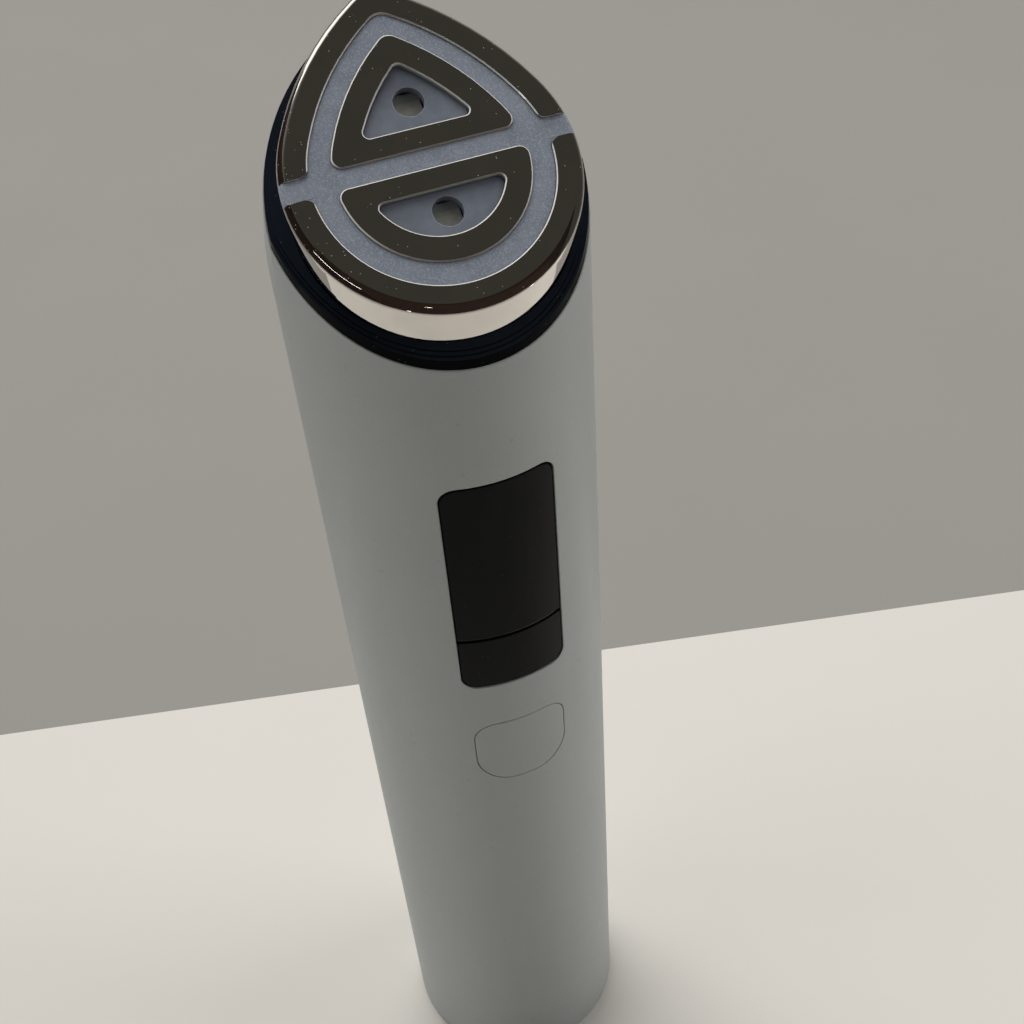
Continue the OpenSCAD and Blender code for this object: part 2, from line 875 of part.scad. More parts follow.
module board_chips() {
    pitch = (power_z - flange_w - board_z) / (chip_n + 1);
    color(chip_black)
        for (i = [1 : chip_n])
            let (side = (pitch - chip_gap) * (1 - i / (2 * chip_n)))
                translate([-side / 2, -board_y - chip_t, board_z + i * pitch - side / 2])
                    cube([side, chip_t, side]);
}

module battery_cell() {
    color(cell_blue)
        translate([0, cell_y, cell_z])
            rotate_extrude()
                difference() {
                    square([cell_d / 2, cell_l]);
                    for (z = [0, cell_l])
                        translate([cell_d / 2, z])
                            rotate([0, 0, 45])
                                square(cell_edge, center = true);
                }
}

module battery_tabs() {
    color(nickel)
        for (z = [cell_z - tab_t, cell_top])
            translate([-tab_w / 2, board_t - board_y, z])
                cube([tab_w, board_y - board_t + cell_y, tab_t]);
}

module battery_pad() {
    color(rubber_grey)
        difference() {
            translate([-pad_x, -chassis_back, cell_z + cell_edge])
                cube([2 * pad_x, 2 * pad_t, cell_l - 2 * cell_edge]);
            translate([0, cell_y, cell_z])
                cylinder(r = cell_d / 2 + hair, h = cell_l);
        }
}

// ---- display and keys ----

module display_lens() {
    color(gloss_black)
        intersection() {
            arc_shell(body_r - lens_sink, lens_t, seam_z + seam_w / 2, window_top);
            to_front(window_z)
                round_rect(window_w - 2 * key_gap, window_h - lens_top_gap, window_r, window_r);
        }
}

module display_module() {
    backing = screen_y - screen_t - board_y;
    color(chip_black)
        translate([-screen_w / 2, -screen_y, screen_z])
            cube([screen_w, screen_t, screen_h]);
    color(frame_grey)
        translate([-screen_w / 2 + backing / 2, -board_y - backing, screen_z + backing / 2])
            cube([screen_w - backing, backing, screen_h - backing]);
}

module lens_frame() {
    color(frame_grey)
        difference() {
            intersection() {
                arc_shell(frame_r, frame_t, seam_z + key_travel, window_top + frame_rim);
                front_block(frame_x, 0, tall);
            }
            front_block(screen_w / 2 + fit_gap, screen_z - fit_gap, screen_z + screen_h + fit_gap);
        }
}

module mode_key() {
    color(gloss_black)
        key(body_r - lens_sink, mode_mid_z, window_z, seam_z - seam_w / 2, seam_z - seam_w / 2) {
            to_front(window_z + key_gap)
                round_rect(window_w - 2 * key_gap, window_h, window_r, window_r);
            front_block(window_w / 2 + flange_w, 0, tall);
        }
}

module power_key() {
    color(shell_white)
        key(body_r, power_mid_z, power_z, power_z + power_h, power_z + power_h + flange_w) {
            to_front(power_z + power_gap)
                round_rect(power_w - 2 * power_gap, power_h - 2 * power_gap, power_low_r, power_top_r);
            front_block(power_w / 2 + flange_w, 0, tall);
        }
}

module mode_switch() {
    color(chip_black)
        push_switch(mode_mid_z);
}

module mode_plunger() {
    color(amber)
        plunger(mode_mid_z);
}

module power_switch() {
    color(chip_black)
        push_switch(power_mid_z);
}

module power_plunger() {
    color(amber)
        plunger(power_mid_z);
}

module key_seal() {
    low = power_z - flange_w - 2 * fit_gap;
    high = seam_z + fit_gap;
    color(rubber_grey)
        difference() {
            union() {
                intersection() {
                    arc_shell(seal_r, seal_t, low - seal_rim, high);
                    front_block(seal_x, 0, tall);
                }
                intersection() {
                    arc_shell(bore_r - hair, bore_r - seal_r + seal_t - hair, low - seal_rim, high);
                    difference() {
                        front_block(seal_x, 0, tall);
                        front_block(seal_in, low, tall);
                    }
                }
            }
            for (z = [mode_mid_z, power_mid_z])
                translate([0, 0, z])
                    along_y(post_d + 2 * fit_gap, 0, body_r);
        }
}

// ---- vibration motor and buzzer ----

module motor_can() {
    color(steel)
        translate([0, cell_y, motor_z])
            difference() {
                cylinder(d = motor_d, h = motor_l);
                translate([0, 0, shaft_d])
                    cylinder(r = shaft_d / 2 + shaft_gap, h = motor_l);
            }
}

module motor_shaft() {
    color(steel)
        translate([0, cell_y, motor_z + 2 * shaft_d])
            cylinder(d = shaft_d, h = weight_z + weight_l - motor_z - shaft_d);
}

module motor_weight() {
    color(nickel)
        translate([0, cell_y, weight_z])
            difference() {
                union() {
                    cylinder(d = 2 * shaft_d, h = weight_l);
                    intersection() {
                        cylinder(r = weight_r, h = weight_l);
                        translate([-weight_r, 0, 0])
                            cube([2 * weight_r, weight_r, weight_l]);
                    }
                }
                translate([0, 0, -hair])
                    cylinder(d = shaft_d, h = weight_l + 2 * hair);
            }
}

module motor_mount() {
    side = motor_d + 2 * mount_t;
    color(rubber_grey)
        difference() {
            translate([-side / 2, -chassis_back, motor_z + mount_t])
                cube([side, chassis_back + cell_y + side / 2, motor_l - 2 * mount_t]);
            translate([0, cell_y, motor_z])
                cylinder(d = motor_d, h = motor_l);
        }
}

module buzzer() {
    color(chip_black)
        translate([0, usb_t / 2 + charge_t + fit_gap + buzzer_d / 2, chassis_z - buzzer_h])
            difference() {
                cylinder(d = buzzer_d, h = buzzer_h);
                translate([0, 0, -hair])
                    cylinder(d = buzzer_d / 6, h = buzzer_h / 3);
            }
}

// ---- head ----

module head_carrier() {
    color(frame_grey)
        difference() {
            union() {
                difference() {
                    grip_form(carrier_inset, carrier_z, tall);
                    slab(0, tall);
                    intersection() {
                        grip_form(carrier_inset + carrier_t, carrier_z - hair, tall);
                        slab(-tall, -carrier_t);
                    }
                }
                rim_frame()
                    cavity_plate(-carrier_t, neck_h, 2 * fit_gap);
                intersection() {
                    grip_form(carrier_inset, carrier_z, carrier_z + screw_l);
                    at_posts()
                        translate([-post_w / 2, -post_w / 2, carrier_z])
                            cube([reach, post_w, screw_l]);
                }
            }
            arc_shell(reach, reach - oring_mid + oring_d / 2, oring_z - oring_d / 2, oring_z + oring_d / 2);
            at_posts()
                translate([0, 0, head_screw_z])
                    screw_hole(screw_l + screw_room);
            translate([-slot_w / 2, -board_y - slot_t / 2 - flex_t / 2, carrier_z])
                cube([slot_w, slot_t, tall]);
            rim_frame()
                at_foot_pins()
                    translate([0, 0, -3 * carrier_t])
                        cylinder(r = pin_d / 2 + guide_gap, h = 3 * carrier_t + hair);
        }
}

module seal_ring() {
    color(rubber_grey)
        translate([0, 0, oring_z])
            rotate_extrude()
                translate([oring_mid, 0])
                    circle(d = oring_d);
}

module head_screws() {
    color(steel)
        at_posts()
            translate([0, 0, head_screw_z])
                screw(screw_l);
}

module bezel_ring() {
    color(navy_black)
        difference() {
            for (i = [0 : ring_steps])
                intersection() {
                    grip_form(ring_inset + i * ring_step_w, 0, tall);
                    slab(0, ring_h + i * ring_step_h);
                }
            rim_frame()
                skirt_solid(-ring_gap, -ring_h, ring_top + ring_h);
        }
}

module led_board() {
    color(board_green)
        rim_frame()
            cavity_plate(neck_h, guide_h, lamp_board_gap);
}

module at_lamps() {
    for (y = [bowl_window_y - lamp_down, arch_window_y + lamp_up])
        translate([0, y, 0])
            children();
}

module led_chips() {
    color(nickel)
        rim_frame()
            at_lamps()
                translate([-lamp_w / 2, -lamp_w / 2, guide_h])
                    cube([lamp_w, lamp_w, lamp_t]);
}

module guide_pockets(gap, low, high) {
    translate([0, 0, low])
        linear_extrude(high - low) {
            hull()
                arch(inner_in - gap, arch_low - gap, corner_r + gap);
            hull()
                bowl(inner_in - gap, bowl_top + gap, corner_r + gap);
        }
}

module window_pockets(inset, low, high) {
    translate([0, 0, low])
        linear_extrude(high - low) {
            hull()
                arch(window_in + inset, arch_window_y + inset, window_corner_r);
            hull()
                bowl(window_in + inset, bowl_window_y - inset, window_corner_r);
        }
}

module diffuser() {
    glow_mid_h = (guide_h + plate_h) / 2;
    bar_t = bar_w - 2 * guide_gap;
    bar_x = bar_end_x + skirt_t / 2;
    leg_h = ring_top + ring_gap;
    color(frosted_blue)
        rim_frame()
            difference() {
                union() {
                    cavity_plate(guide_h, plate_h, fit_gap);
                    translate([0, 0, glow_mid_h])
                        linear_extrude(glow_h - glow_mid_h) {
                            teardrop(band_w + guide_gap);
                            end_rounding(1, guide_gap);
                            end_rounding(-1, guide_gap);
                            translate([-bar_x, bar_low + guide_gap])
                                square([2 * bar_x, bar_t]);
                        }
                    intersection() {
                        head_outside();
                        both_sides()
                            translate([bar_end_x, bar_low + guide_gap, leg_h])
                                cube([reach, bar_t, glow_h - leg_h]);
                    }
                }
                guide_pockets(guide_gap, plate_h, face_h);
                window_pockets(0, window_low_h, face_h);
                window_pockets(ledge_w, guide_h - hair, face_h);
                at_inner_pins()
                    cylinder(r = pin_d / 2 + guide_gap, h = face_h);
            }
}

module window() {
    rim_frame()
        translate([0, 0, window_low_h])
            linear_extrude(window_t)
                difference() {
                    hull()
                        children();
                    at_lamps()
                        circle(d = lamp_hole_d);
                }
}

module upper_window() {
    color(window_blue)
        window()
            arch(window_in + window_gap, arch_window_y + window_gap, window_corner_r);
}

module lower_window() {
    color(window_blue)
        window()
            bowl(window_in + window_gap, bowl_window_y - window_gap, window_corner_r);
}

module outer_electrode(side) {
    edge = side > 0 ? bar_high : bar_low - reach;
    color(mirror_chrome)
        rim_frame()
            difference() {
                intersection() {
                    head_outside();
                    translate([-reach, edge, 0])
                        cube([2 * reach, reach, face_h]);
                }
                skirt_solid(skirt_t, -1, plate_h);
                linear_extrude(face_h + hair) {
                    teardrop(band_w);
                    end_rounding(side, 0);
                }
                translate([0, 0, face_h - bevel])
                    teardrop_flare(band_w);
            }
}

module upper_arc_electrode() {
    outer_electrode(1);
}

module lower_arc_electrode() {
    outer_electrode(-1);
}

// Plate with bevelled edges: children are its outline and the outline a bevel smaller,
// then its opening and the opening a bevel larger
module bevelled_plate() {
    difference() {
        hull() {
            linear_extrude(plate_t - bevel)
                children(0);
            linear_extrude(plate_t)
                children(1);
        }
        hull()
            translate([0, 0, -hair])
                linear_extrude(plate_t)
                    children(2);
        hull() {
            translate([0, 0, plate_t - bevel])
                linear_extrude(hair)
                    children(2);
            translate([0, 0, plate_t])
                linear_extrude(hair)
                    children(3);
        }
    }
}

module arch_electrode() {
    $fn = outline_fn;
    color(mirror_chrome)
        rim_frame()
            translate([0, 0, plate_h])
                bevelled_plate() {
                    arch(inner_in, arch_low, corner_r);
                    arch(inner_in + bevel, arch_low + bevel, corner_r - bevel);
                    arch(window_in, arch_window_y, window_corner_r);
                    arch(window_in - bevel, arch_window_y - bevel, window_corner_r + bevel);
                }
}

module bowl_electrode() {
    $fn = outline_fn;
    color(mirror_chrome)
        rim_frame()
            translate([0, 0, plate_h])
                bevelled_plate() {
                    bowl(inner_in, bowl_top, corner_r);
                    bowl(inner_in + bevel, bowl_top - bevel, corner_r - bevel);
                    bowl(window_in, bowl_window_y, window_corner_r);
                    bowl(window_in - bevel, bowl_window_y + bevel, window_corner_r + bevel);
                }
}

module at_inner_pins() {
    for (y = [arch_low + cross_w / 2, bowl_top - cross_w / 2])
        translate([0, y, 0])
            children();
}

module at_foot_pins() {
    foot_mid_r = head_r - skirt_taper - skirt_t / 2;
    for (a = [-side_turn, side_turn])
        translate([foot_mid_r * cos(a), -head_drop - skirt_lean + foot_mid_r * sin(a), 0])
            children();
}

module contact_pins() {
    color(gold)
        rim_frame() {
            at_inner_pins()
                translate([0, 0, guide_h])
                    cylinder(d = pin_d, h = plate_h - guide_h);
            at_foot_pins()
                translate([0, 0, -2 * carrier_t])
                    cylinder(d = pin_d, h = 2 * carrier_t);
        }
}

module head_flex() {
    color(amber)
        difference() {
            translate([-flex_w / 2, -board_y - flex_t, flex_low])
                cube([flex_w, flex_t, tall - flex_low]);
            slab(neck_h, tall);
        }
}

grip_tube();
base_cap();
foot_pad();
base_screws();
charge_board();
usb_shell();
usb_tongue();
chassis();
main_board();
board_screws();
board_chips();
battery_cell();
battery_tabs();
battery_pad();
display_lens();
display_module();
lens_frame();
mode_key();
mode_switch();
mode_plunger();
power_key();
power_switch();
power_plunger();
key_seal();
motor_can();
motor_shaft();
motor_weight();
motor_mount();
buzzer();
head_carrier();
seal_ring();
head_screws();
bezel_ring();
led_board();
led_chips();
diffuser();
upper_window();
lower_window();
upper_arc_electrode();
lower_arc_electrode();
arch_electrode();
bowl_electrode();
contact_pins();
head_flex();
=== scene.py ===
import math

import bpy
from bpy.props import FloatProperty, FloatVectorProperty, PointerProperty
from mathutils import Matrix, Vector


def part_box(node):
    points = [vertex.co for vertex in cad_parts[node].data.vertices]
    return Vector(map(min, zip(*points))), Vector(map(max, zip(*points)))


bl_info = {
    "name": "Facial toning device",
    "version": (1, 0, 0),
    "blender": (4, 5, 0),
    "location": "3D View > Sidebar > Toning device",
    "description": "Finishes for the toning device's pieces, with its floor and studio light",
    "category": "Object",
}

MM = 0.001
OUTER_ELECTRODES = ("upper_arc_electrode", "lower_arc_electrode")
INNER_ELECTRODES = ("arch_electrode", "bowl_electrode")

# On faceted pieces, vertices within this many metres are welded, and edges that bend less than
# the limit are shaded smoothly
WELD_DISTANCE = 1e-6
EVEN_LIMIT = math.radians(30)

# The head's slope, the way its face looks, the way up along it, and the height in millimetres
# at which the grip's sloping rim crosses its axis
SLOPE = math.radians(34.5)
FACE_AXIS = (0, -math.sin(SLOPE), math.cos(SLOPE))
UP_SLOPE = (0, math.cos(SLOPE), math.sin(SLOPE))
RIM_HEIGHT = 145.7

# Distances up the slope from the grip's axis, in millimetres: the top of the pale part under
# each light hole, above which shade is painted, and the stretch over which painted shade
# darkens each window
LAMP_LINES = (-5.25, 5.75)
LOWER_WINDOW_FADE = (-6.5, -2.5)
UPPER_WINDOW_FADE = (3.5, 9)
# Painted shade: grey of the lamps and their fields above those lines
PAINTED_LAMP_SHADE = (0.26, 0.27, 0.28)

# The stage is in metres. The floor and the ground behind it: half their width, which is also
# the floor's reach to the front, the ground's reach to the back, and how far the ground goes
# under the floor and lies below it
SHEET_REACH = 1.6
GROUND_END = 3
GROUND_LAP = 0.01
GROUND_DROP = 0.002

# Colour of the lights, and the soft ones: size, place and the point each is aimed at
WARM_WHITE = (1.0, 0.975, 0.94)
SOFT_LIGHTS = {
    "left": ((0.5, 0.7), (-0.75, 0.10, 0.55), (0, 0, 0.08)),
    "right": ((0.5, 0.7), (0.70, -0.15, 0.45), (0, 0, 0.08)),
    "top": ((0.9, 0.6), (0.0, 0.55, 0.95), (0, 0, 0.05)),
}

# Dark cards that only the gloss reflects: start and end on the floor, low and high edge
DARK_CARDS = (
    ("front_card", (-0.60, -0.50), (1.0, -0.50), (0.10, 1.4)),
    ("left_card", (-0.50, -0.50), (-0.50, 1.10), (0.12, 0.90)),
)

# Where the room is dark, and where its bright window is, as directions from the part
DARK_WAY = (0.50, -0.45, 0.74)
WINDOW_WAY = (-0.17, 0.73, 0.66)

# Small lamps, aimed at the head, that leave bright points and lines in the gloss: size and place
HEAD_PLACE = (0, 0, 0.14)
GLINTS = (
    ("low_glint", (0.020, 0.015), (-0.28, -0.46, 0.12)),
    ("front_glint", (0.020, 0.015), (-0.045, -0.46, 0.45)),
    ("right_glint", (0.025, 0.025), (0.45, -0.40, 0.035)),
    ("left_glint", (0.26, 0.012), (-0.39, -0.255, 0.40)),
)

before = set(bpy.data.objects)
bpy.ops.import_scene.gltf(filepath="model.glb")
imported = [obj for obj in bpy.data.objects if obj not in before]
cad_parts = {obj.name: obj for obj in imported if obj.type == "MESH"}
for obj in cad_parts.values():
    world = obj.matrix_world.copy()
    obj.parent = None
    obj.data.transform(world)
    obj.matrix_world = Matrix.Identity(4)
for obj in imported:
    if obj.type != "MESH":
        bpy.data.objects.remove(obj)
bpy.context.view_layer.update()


# ---- shader maths ----

# Sockets of a Mix node that mixes colours
MIX_MASK, MIX_FIRST, MIX_SECOND, MIX_RESULT = 0, 6, 7, 2


class Wire:
    """An output socket that takes part in arithmetic: each operator adds a Math node."""

    def __init__(self, tree, socket):
        self.tree = tree
        self.socket = socket

    def math(self, operation, *values):
        return add_node(
            self.tree, "ShaderNodeMath", {"operation": operation}, dict(enumerate(values))
        )

    def __add__(self, other):
        return self.math("ADD", self, other)

    def __radd__(self, other):
        return self.math("ADD", other, self)

    def __sub__(self, other):
        return self.math("SUBTRACT", self, other)

    def __rsub__(self, other):
        return self.math("SUBTRACT", other, self)

    def __mul__(self, other):
        return self.math("MULTIPLY", self, other)

    def __rmul__(self, other):
        return self.math("MULTIPLY", other, self)

    def most(self, other):
        return self.math("MAXIMUM", self, other)

    def fraction(self):
        return self.math("FRACT", self)

    def step(self, low, high):
        """0 up to low, 1 from high on, smooth between; falls where low is above high."""
        return add_node(
            self.tree,
            "ShaderNodeMapRange",
            {"interpolation_type": "SMOOTHSTEP"},
            {"Value": self, "From Min": low, "From Max": high},
        )


def add_node(tree, kind, settings=None, inputs=None, output=0):
    """Adds a node: its settings first, then the values or links of its sockets."""
    node = tree.nodes.new(kind)
    for key, value in (settings or {}).items():
        setattr(node, key, value)
    for key, value in (inputs or {}).items():
        if isinstance(value, Wire):
            tree.links.new(value.socket, node.inputs[key])
        else:
            node.inputs[key].default_value = value
    return Wire(tree, node.outputs[output])


def vector_math(tree, operation, *values, output="Vector"):
    """A Vector Math node on these vectors, some of them fixed and some from sockets."""
    return add_node(
        tree, "ShaderNodeVectorMath", {"operation": operation}, dict(enumerate(values)), output
    )


def mix_colours(tree, mask, first, second):
    """The first colour where mask is 0, the second where it is 1."""
    inputs = {MIX_MASK: mask}
    for key, colour in ((MIX_FIRST, first), (MIX_SECOND, second)):
        inputs[key] = colour if isinstance(colour, Wire) else rgba(colour)
    return add_node(tree, "ShaderNodeMix", {"data_type": "RGBA"}, inputs, MIX_RESULT)


def rgba(colour):
    return (*colour, 1.0)


def toned(colour, factor, lift=0.0):
    """The colour times a factor, with lift added, and no part of it over 1."""
    return [min(1, part * factor + lift) for part in colour]


class Finish:
    """A material under construction: patterns in the part's own millimetres."""

    def __init__(self, name):
        self.material = bpy.data.materials.new(name)
        self.material.use_nodes = True
        self.tree = self.material.node_tree
        self.tree.nodes.clear()
        self.place = self.node("ShaderNodeTexCoord", output="Object")

    def node(self, kind, settings=None, inputs=None, output=0):
        return add_node(self.tree, kind, settings, inputs, output)

    def mix(self, mask, first, second):
        return mix_colours(self.tree, mask, first, second)

    def vector(self, operation, *values, output="Vector"):
        return vector_math(self.tree, operation, *values, output=output)

    def stretched(self, x, y, z):
        """The place times a factor each way: a factor under 1 draws patterns out that way."""
        return self.vector("MULTIPLY", self.place, (x, y, z))

    def noise(self, size, detail=2.0, place=None, twist=0.0):
        """Soft random values from 0 to 1, with patches about size millimetres wide."""
        return self.node(
            "ShaderNodeTexNoise",
            {"noise_dimensions": "3D"},
            {
                "Vector": place or self.place,
                "Scale": 1 / (size * MM),
                "Detail": detail,
                "Distortion": twist,
            },
        )

    def cells(self, size, feature="F1", metric="EUCLIDEAN", output="Distance"):
        """Random cells about size millimetres wide."""
        return self.node(
            "ShaderNodeTexVoronoi",
            {"feature": feature, "distance": metric},
            {"Vector": self.place, "Scale": 1 / (size * MM)},
            output,
        )

    def dust(self, size, share):
        """Specks about a third of size wide, in about that share of the cells."""
        near = self.cells(size).step(0.17, 0.10)
        chosen = self.channel(self.cells(size, output="Color"), "Red")
        return near * chosen.step(1 - share, 1 - share + 0.01)

    def channel(self, colour, name):
        return self.node("ShaderNodeSeparateColor", {"mode": "RGB"}, {0: colour}, name)

    def part(self, vector, name):
        return self.node("ShaderNodeSeparateXYZ", None, {0: vector}, name)

    def dot(self, first, second):
        return self.vector("DOT_PRODUCT", first, second, output="Value")

    def facing(self):
        """The way the surface faces, without bump or rounding."""
        return self.node("ShaderNodeNewGeometry", output="True Normal")

    def level(self):
        """How level with the head's face the surface lies: 1 on it, 0 on walls square to it."""
        return self.dot(self.facing(), FACE_AXIS)

    def inward(self):
        """1 where the surface faces the middle of the head, 0 where it faces out."""
        centre = (0, 0, RIM_HEIGHT * MM)
        away = self.vector("SUBTRACT", self.place, centre)
        along = self.vector("SUBTRACT", away, self.vector("PROJECT", away, FACE_AXIS))
        return self.dot(along, self.facing()).step(0.5 * MM, -0.5 * MM)

    def up_slope(self):
        """Distance up the head's slope from the grip's axis, in millimetres."""
        return self.dot(self.place, UP_SLOPE) * (1 / MM) - RIM_HEIGHT * UP_SLOPE[2]

    def below_lamp_shade(self):
        """1 on the pale lower part under each light hole, 0 above it, where shade is painted."""
        height = self.up_slope()
        blur = 0.06
        lower, upper = (height.step(line + blur, line - blur) for line in LAMP_LINES)
        return lower + height.step(0, 0.1) * upper

    def painted_window_shade(self):
        """0 at the foot of each lamp window, 1 at its top: where painted shade darkens it."""
        height = self.up_slope()
        return height.step(*UPPER_WINDOW_FADE) + (
            height.step(*LOWER_WINDOW_FADE) * height.step(0.1, 0)
        )

    def axis(self, name):
        """The place along X, Y or Z, in millimetres."""
        return self.part(self.place, name) * (1 / MM)

    def rounded(self, radius):
        """The surface's normal with its edges rounded to a radius in millimetres."""
        return self.node("ShaderNodeBevel", {"samples": 4}, {"Radius": radius * MM})

    def lifted(self, normal, lift):
        """The normal turned up, most where it points down, as on a slightly bulging skirt."""
        low = self.part(normal, "Z").step(0.8, -0.38)
        up = self.node("ShaderNodeCombineXYZ", None, {"Z": low * lift})
        return self.vector("NORMALIZE", self.vector("ADD", normal, up))

    def edges(self, radius):
        """1 along the edges within about radius millimetres, 0 on the open faces."""
        shaded = self.node("ShaderNodeNewGeometry", output="Normal")
        return (1 - self.dot(self.rounded(radius), shaded)).step(0.01, 0.12)

    def close(self, varying, fixed=None, *, height, depth, normal=None):
        """Ends the material in a Principled shader; height times depth mm is its bump."""
        relief = {"Height": height, "Distance": depth * MM, "Strength": 1.0}
        if normal is not None:
            relief["Normal"] = normal
        bump = self.node("ShaderNodeBump", None, relief)
        inputs = {**(fixed or {}), **varying, "Normal": bump}
        shader = self.node("ShaderNodeBsdfPrincipled", None, inputs)
        out = self.tree.nodes.new("ShaderNodeOutputMaterial")
        self.tree.links.new(shader.socket, out.inputs["Surface"])
        return self.material


def dress(material, *nodes):
    """Gives the CAD pieces of these names a material."""
    for name in nodes:
        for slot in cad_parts[name].material_slots:
            slot.material = material


def even_shading():
    """Modifier nodes that shade smoothly over facets and keep edges above the limit sharp."""
    tree = bpy.data.node_groups.new("even_shading", "GeometryNodeTree")
    tree.is_modifier = True
    for way in ("INPUT", "OUTPUT"):
        tree.interface.new_socket("Geometry", in_out=way, socket_type="NodeSocketGeometry")
    start = add_node(tree, "NodeGroupInput")
    welded = add_node(tree, "GeometryNodeMergeByDistance", None,
                      {0: start, "Distance": WELD_DISTANCE})
    smooth = add_node(tree, "GeometryNodeSetShadeSmooth", {"domain": "FACE"}, {0: welded})
    angle = add_node(tree, "GeometryNodeInputMeshEdgeAngle")
    shallow = add_node(tree, "FunctionNodeCompare", {"operation": "LESS_THAN"},
                       {0: angle, 1: EVEN_LIMIT})
    shaded = add_node(tree, "GeometryNodeSetShadeSmooth", {"domain": "EDGE"},
                      {0: smooth, "Shade Smooth": shallow})
    end = tree.nodes.new("NodeGroupOutput")
    tree.links.new(shaded.socket, end.inputs[0])
    return tree


def shade_evenly(*nodes):
    """Smooths the shading of faceted CAD pieces; their shape stays as it is."""
    tree = even_shading()
    for name in nodes:
        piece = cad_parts[name]
        piece.modifiers.new("even_shading", "NODES").node_group = tree
        weighted = piece.modifiers.new("weighted_normals", "WEIGHTED_NORMAL")
        weighted.mode = "FACE_AREA_WITH_ANGLE"
        weighted.keep_sharp = True


# ---- finishes ----

def moulded_shell(name, look):
    """Matt moulded plastic: spark-eroded grain, faint handling marks, lighter edges."""
    finish = Finish(name)
    grain = finish.noise(look.grain, 3)
    tone = finish.noise(9, 3)
    marks = finish.noise(2.4, 4, twist=0.6).step(0.56, 0.74)
    rub = finish.noise(6, 2, finish.stretched(1, 1, 0.12)).step(0.5, 0.8)
    edge_tone = finish.edges(0.25)
    specks = finish.dust(1.7, 0.10)
    base = finish.mix(tone.step(0.3, 0.7), toned(look.colour, 0.965), look.colour)
    base = finish.mix(0.5 * grain.step(0.35, 0.65), base, toned(look.colour, 1.05))
    base = finish.mix(0.35 * edge_tone, base, toned(look.colour, 1.2))
    base = finish.mix(0.25 * specks, base, toned(look.colour, 0.6))
    rough = look.roughness + 0.06 * tone - 0.07 * marks - 0.05 * rub - 0.08 * edge_tone
    return finish.close(
        {"Base Color": base, "Roughness": rough},
        {"IOR": 1.49, "Specular IOR Level": 0.42},
        height=grain + 0.35 * finish.noise(look.grain * 3, 2),
        depth=0.012,
        normal=finish.rounded(0.22),
    )


def black_lens(name, look):
    """Gloss black plastic: faint wipe marks, a little dust, hairline scratches and painted shade
    along its edges.
    """
    finish = Finish(name)
    smear = finish.noise(5, 4, finish.stretched(1, 1, 0.35), twist=0.8)
    specks = finish.dust(0.6, 0.05)
    hair = finish.noise(0.5, 2, finish.stretched(1, 1, 0.02)).step(0.69, 0.76)
    edge_tone = finish.edges(0.12)
    dust_colour = (0.10, 0.10, 0.10)
    rim_colour = (0.001, 0.001, 0.001)
    base = finish.mix(smear.step(0.35, 0.7), look.colour, toned(look.colour, 1.25, 0.001))
    base = finish.mix(0.3 * specks, base, dust_colour)
    # Painted shade: the edges darkened to near black, like the shadowed gap round the lens
    base = finish.mix(0.8 * edge_tone, base, rim_colour)
    rough = look.roughness + 0.10 * smear.step(0.45, 0.75) + 0.35 * specks + 0.08 * hair
    return finish.close(
        {"Base Color": base, "Roughness": rough},
        {"IOR": 1.49, "Specular IOR Level": 0.075},
        height=finish.noise(7, 1) + 0.06 * hair,
        depth=0.006,
        normal=finish.rounded(0.3),
    )


def navy_ring(name, look):
    """Gloss near-black ring with a blue cast on its up-facing steps, specks and fine rubs; the cast
    is partly its navy colour and partly a painted reflection of the bright skirt.
    """
    finish = Finish(name)
    specks = finish.dust(0.45, 0.12)
    smear = finish.noise(3, 3, twist=0.5)
    edge_tone = finish.edges(0.09)
    lip = finish.level().step(0.7, 0.9) * (0.6 + 0.4 * smear)
    dust_colour = (0.20, 0.21, 0.23)
    rub_colour = (0.05, 0.07, 0.13)
    # The steps' blue cast: partly the ring's navy, partly a painted reflection of the skirt
    base = finish.mix(lip, look.colour, look.lip_tint_and_reflection)
    base = finish.mix(0.4 * specks, base, dust_colour)
    base = finish.mix(0.22 * edge_tone, base, rub_colour)
    rough = look.roughness + 0.08 * smear + 0.3 * specks + 0.1 * edge_tone
    return finish.close(
        {"Base Color": base, "Roughness": rough},
        {"IOR": 1.5, "Specular IOR Level": 0.03},
        height=finish.noise(2.5, 2) + 0.2 * specks,
        depth=0.006,
        normal=finish.rounded(0.07),
    )


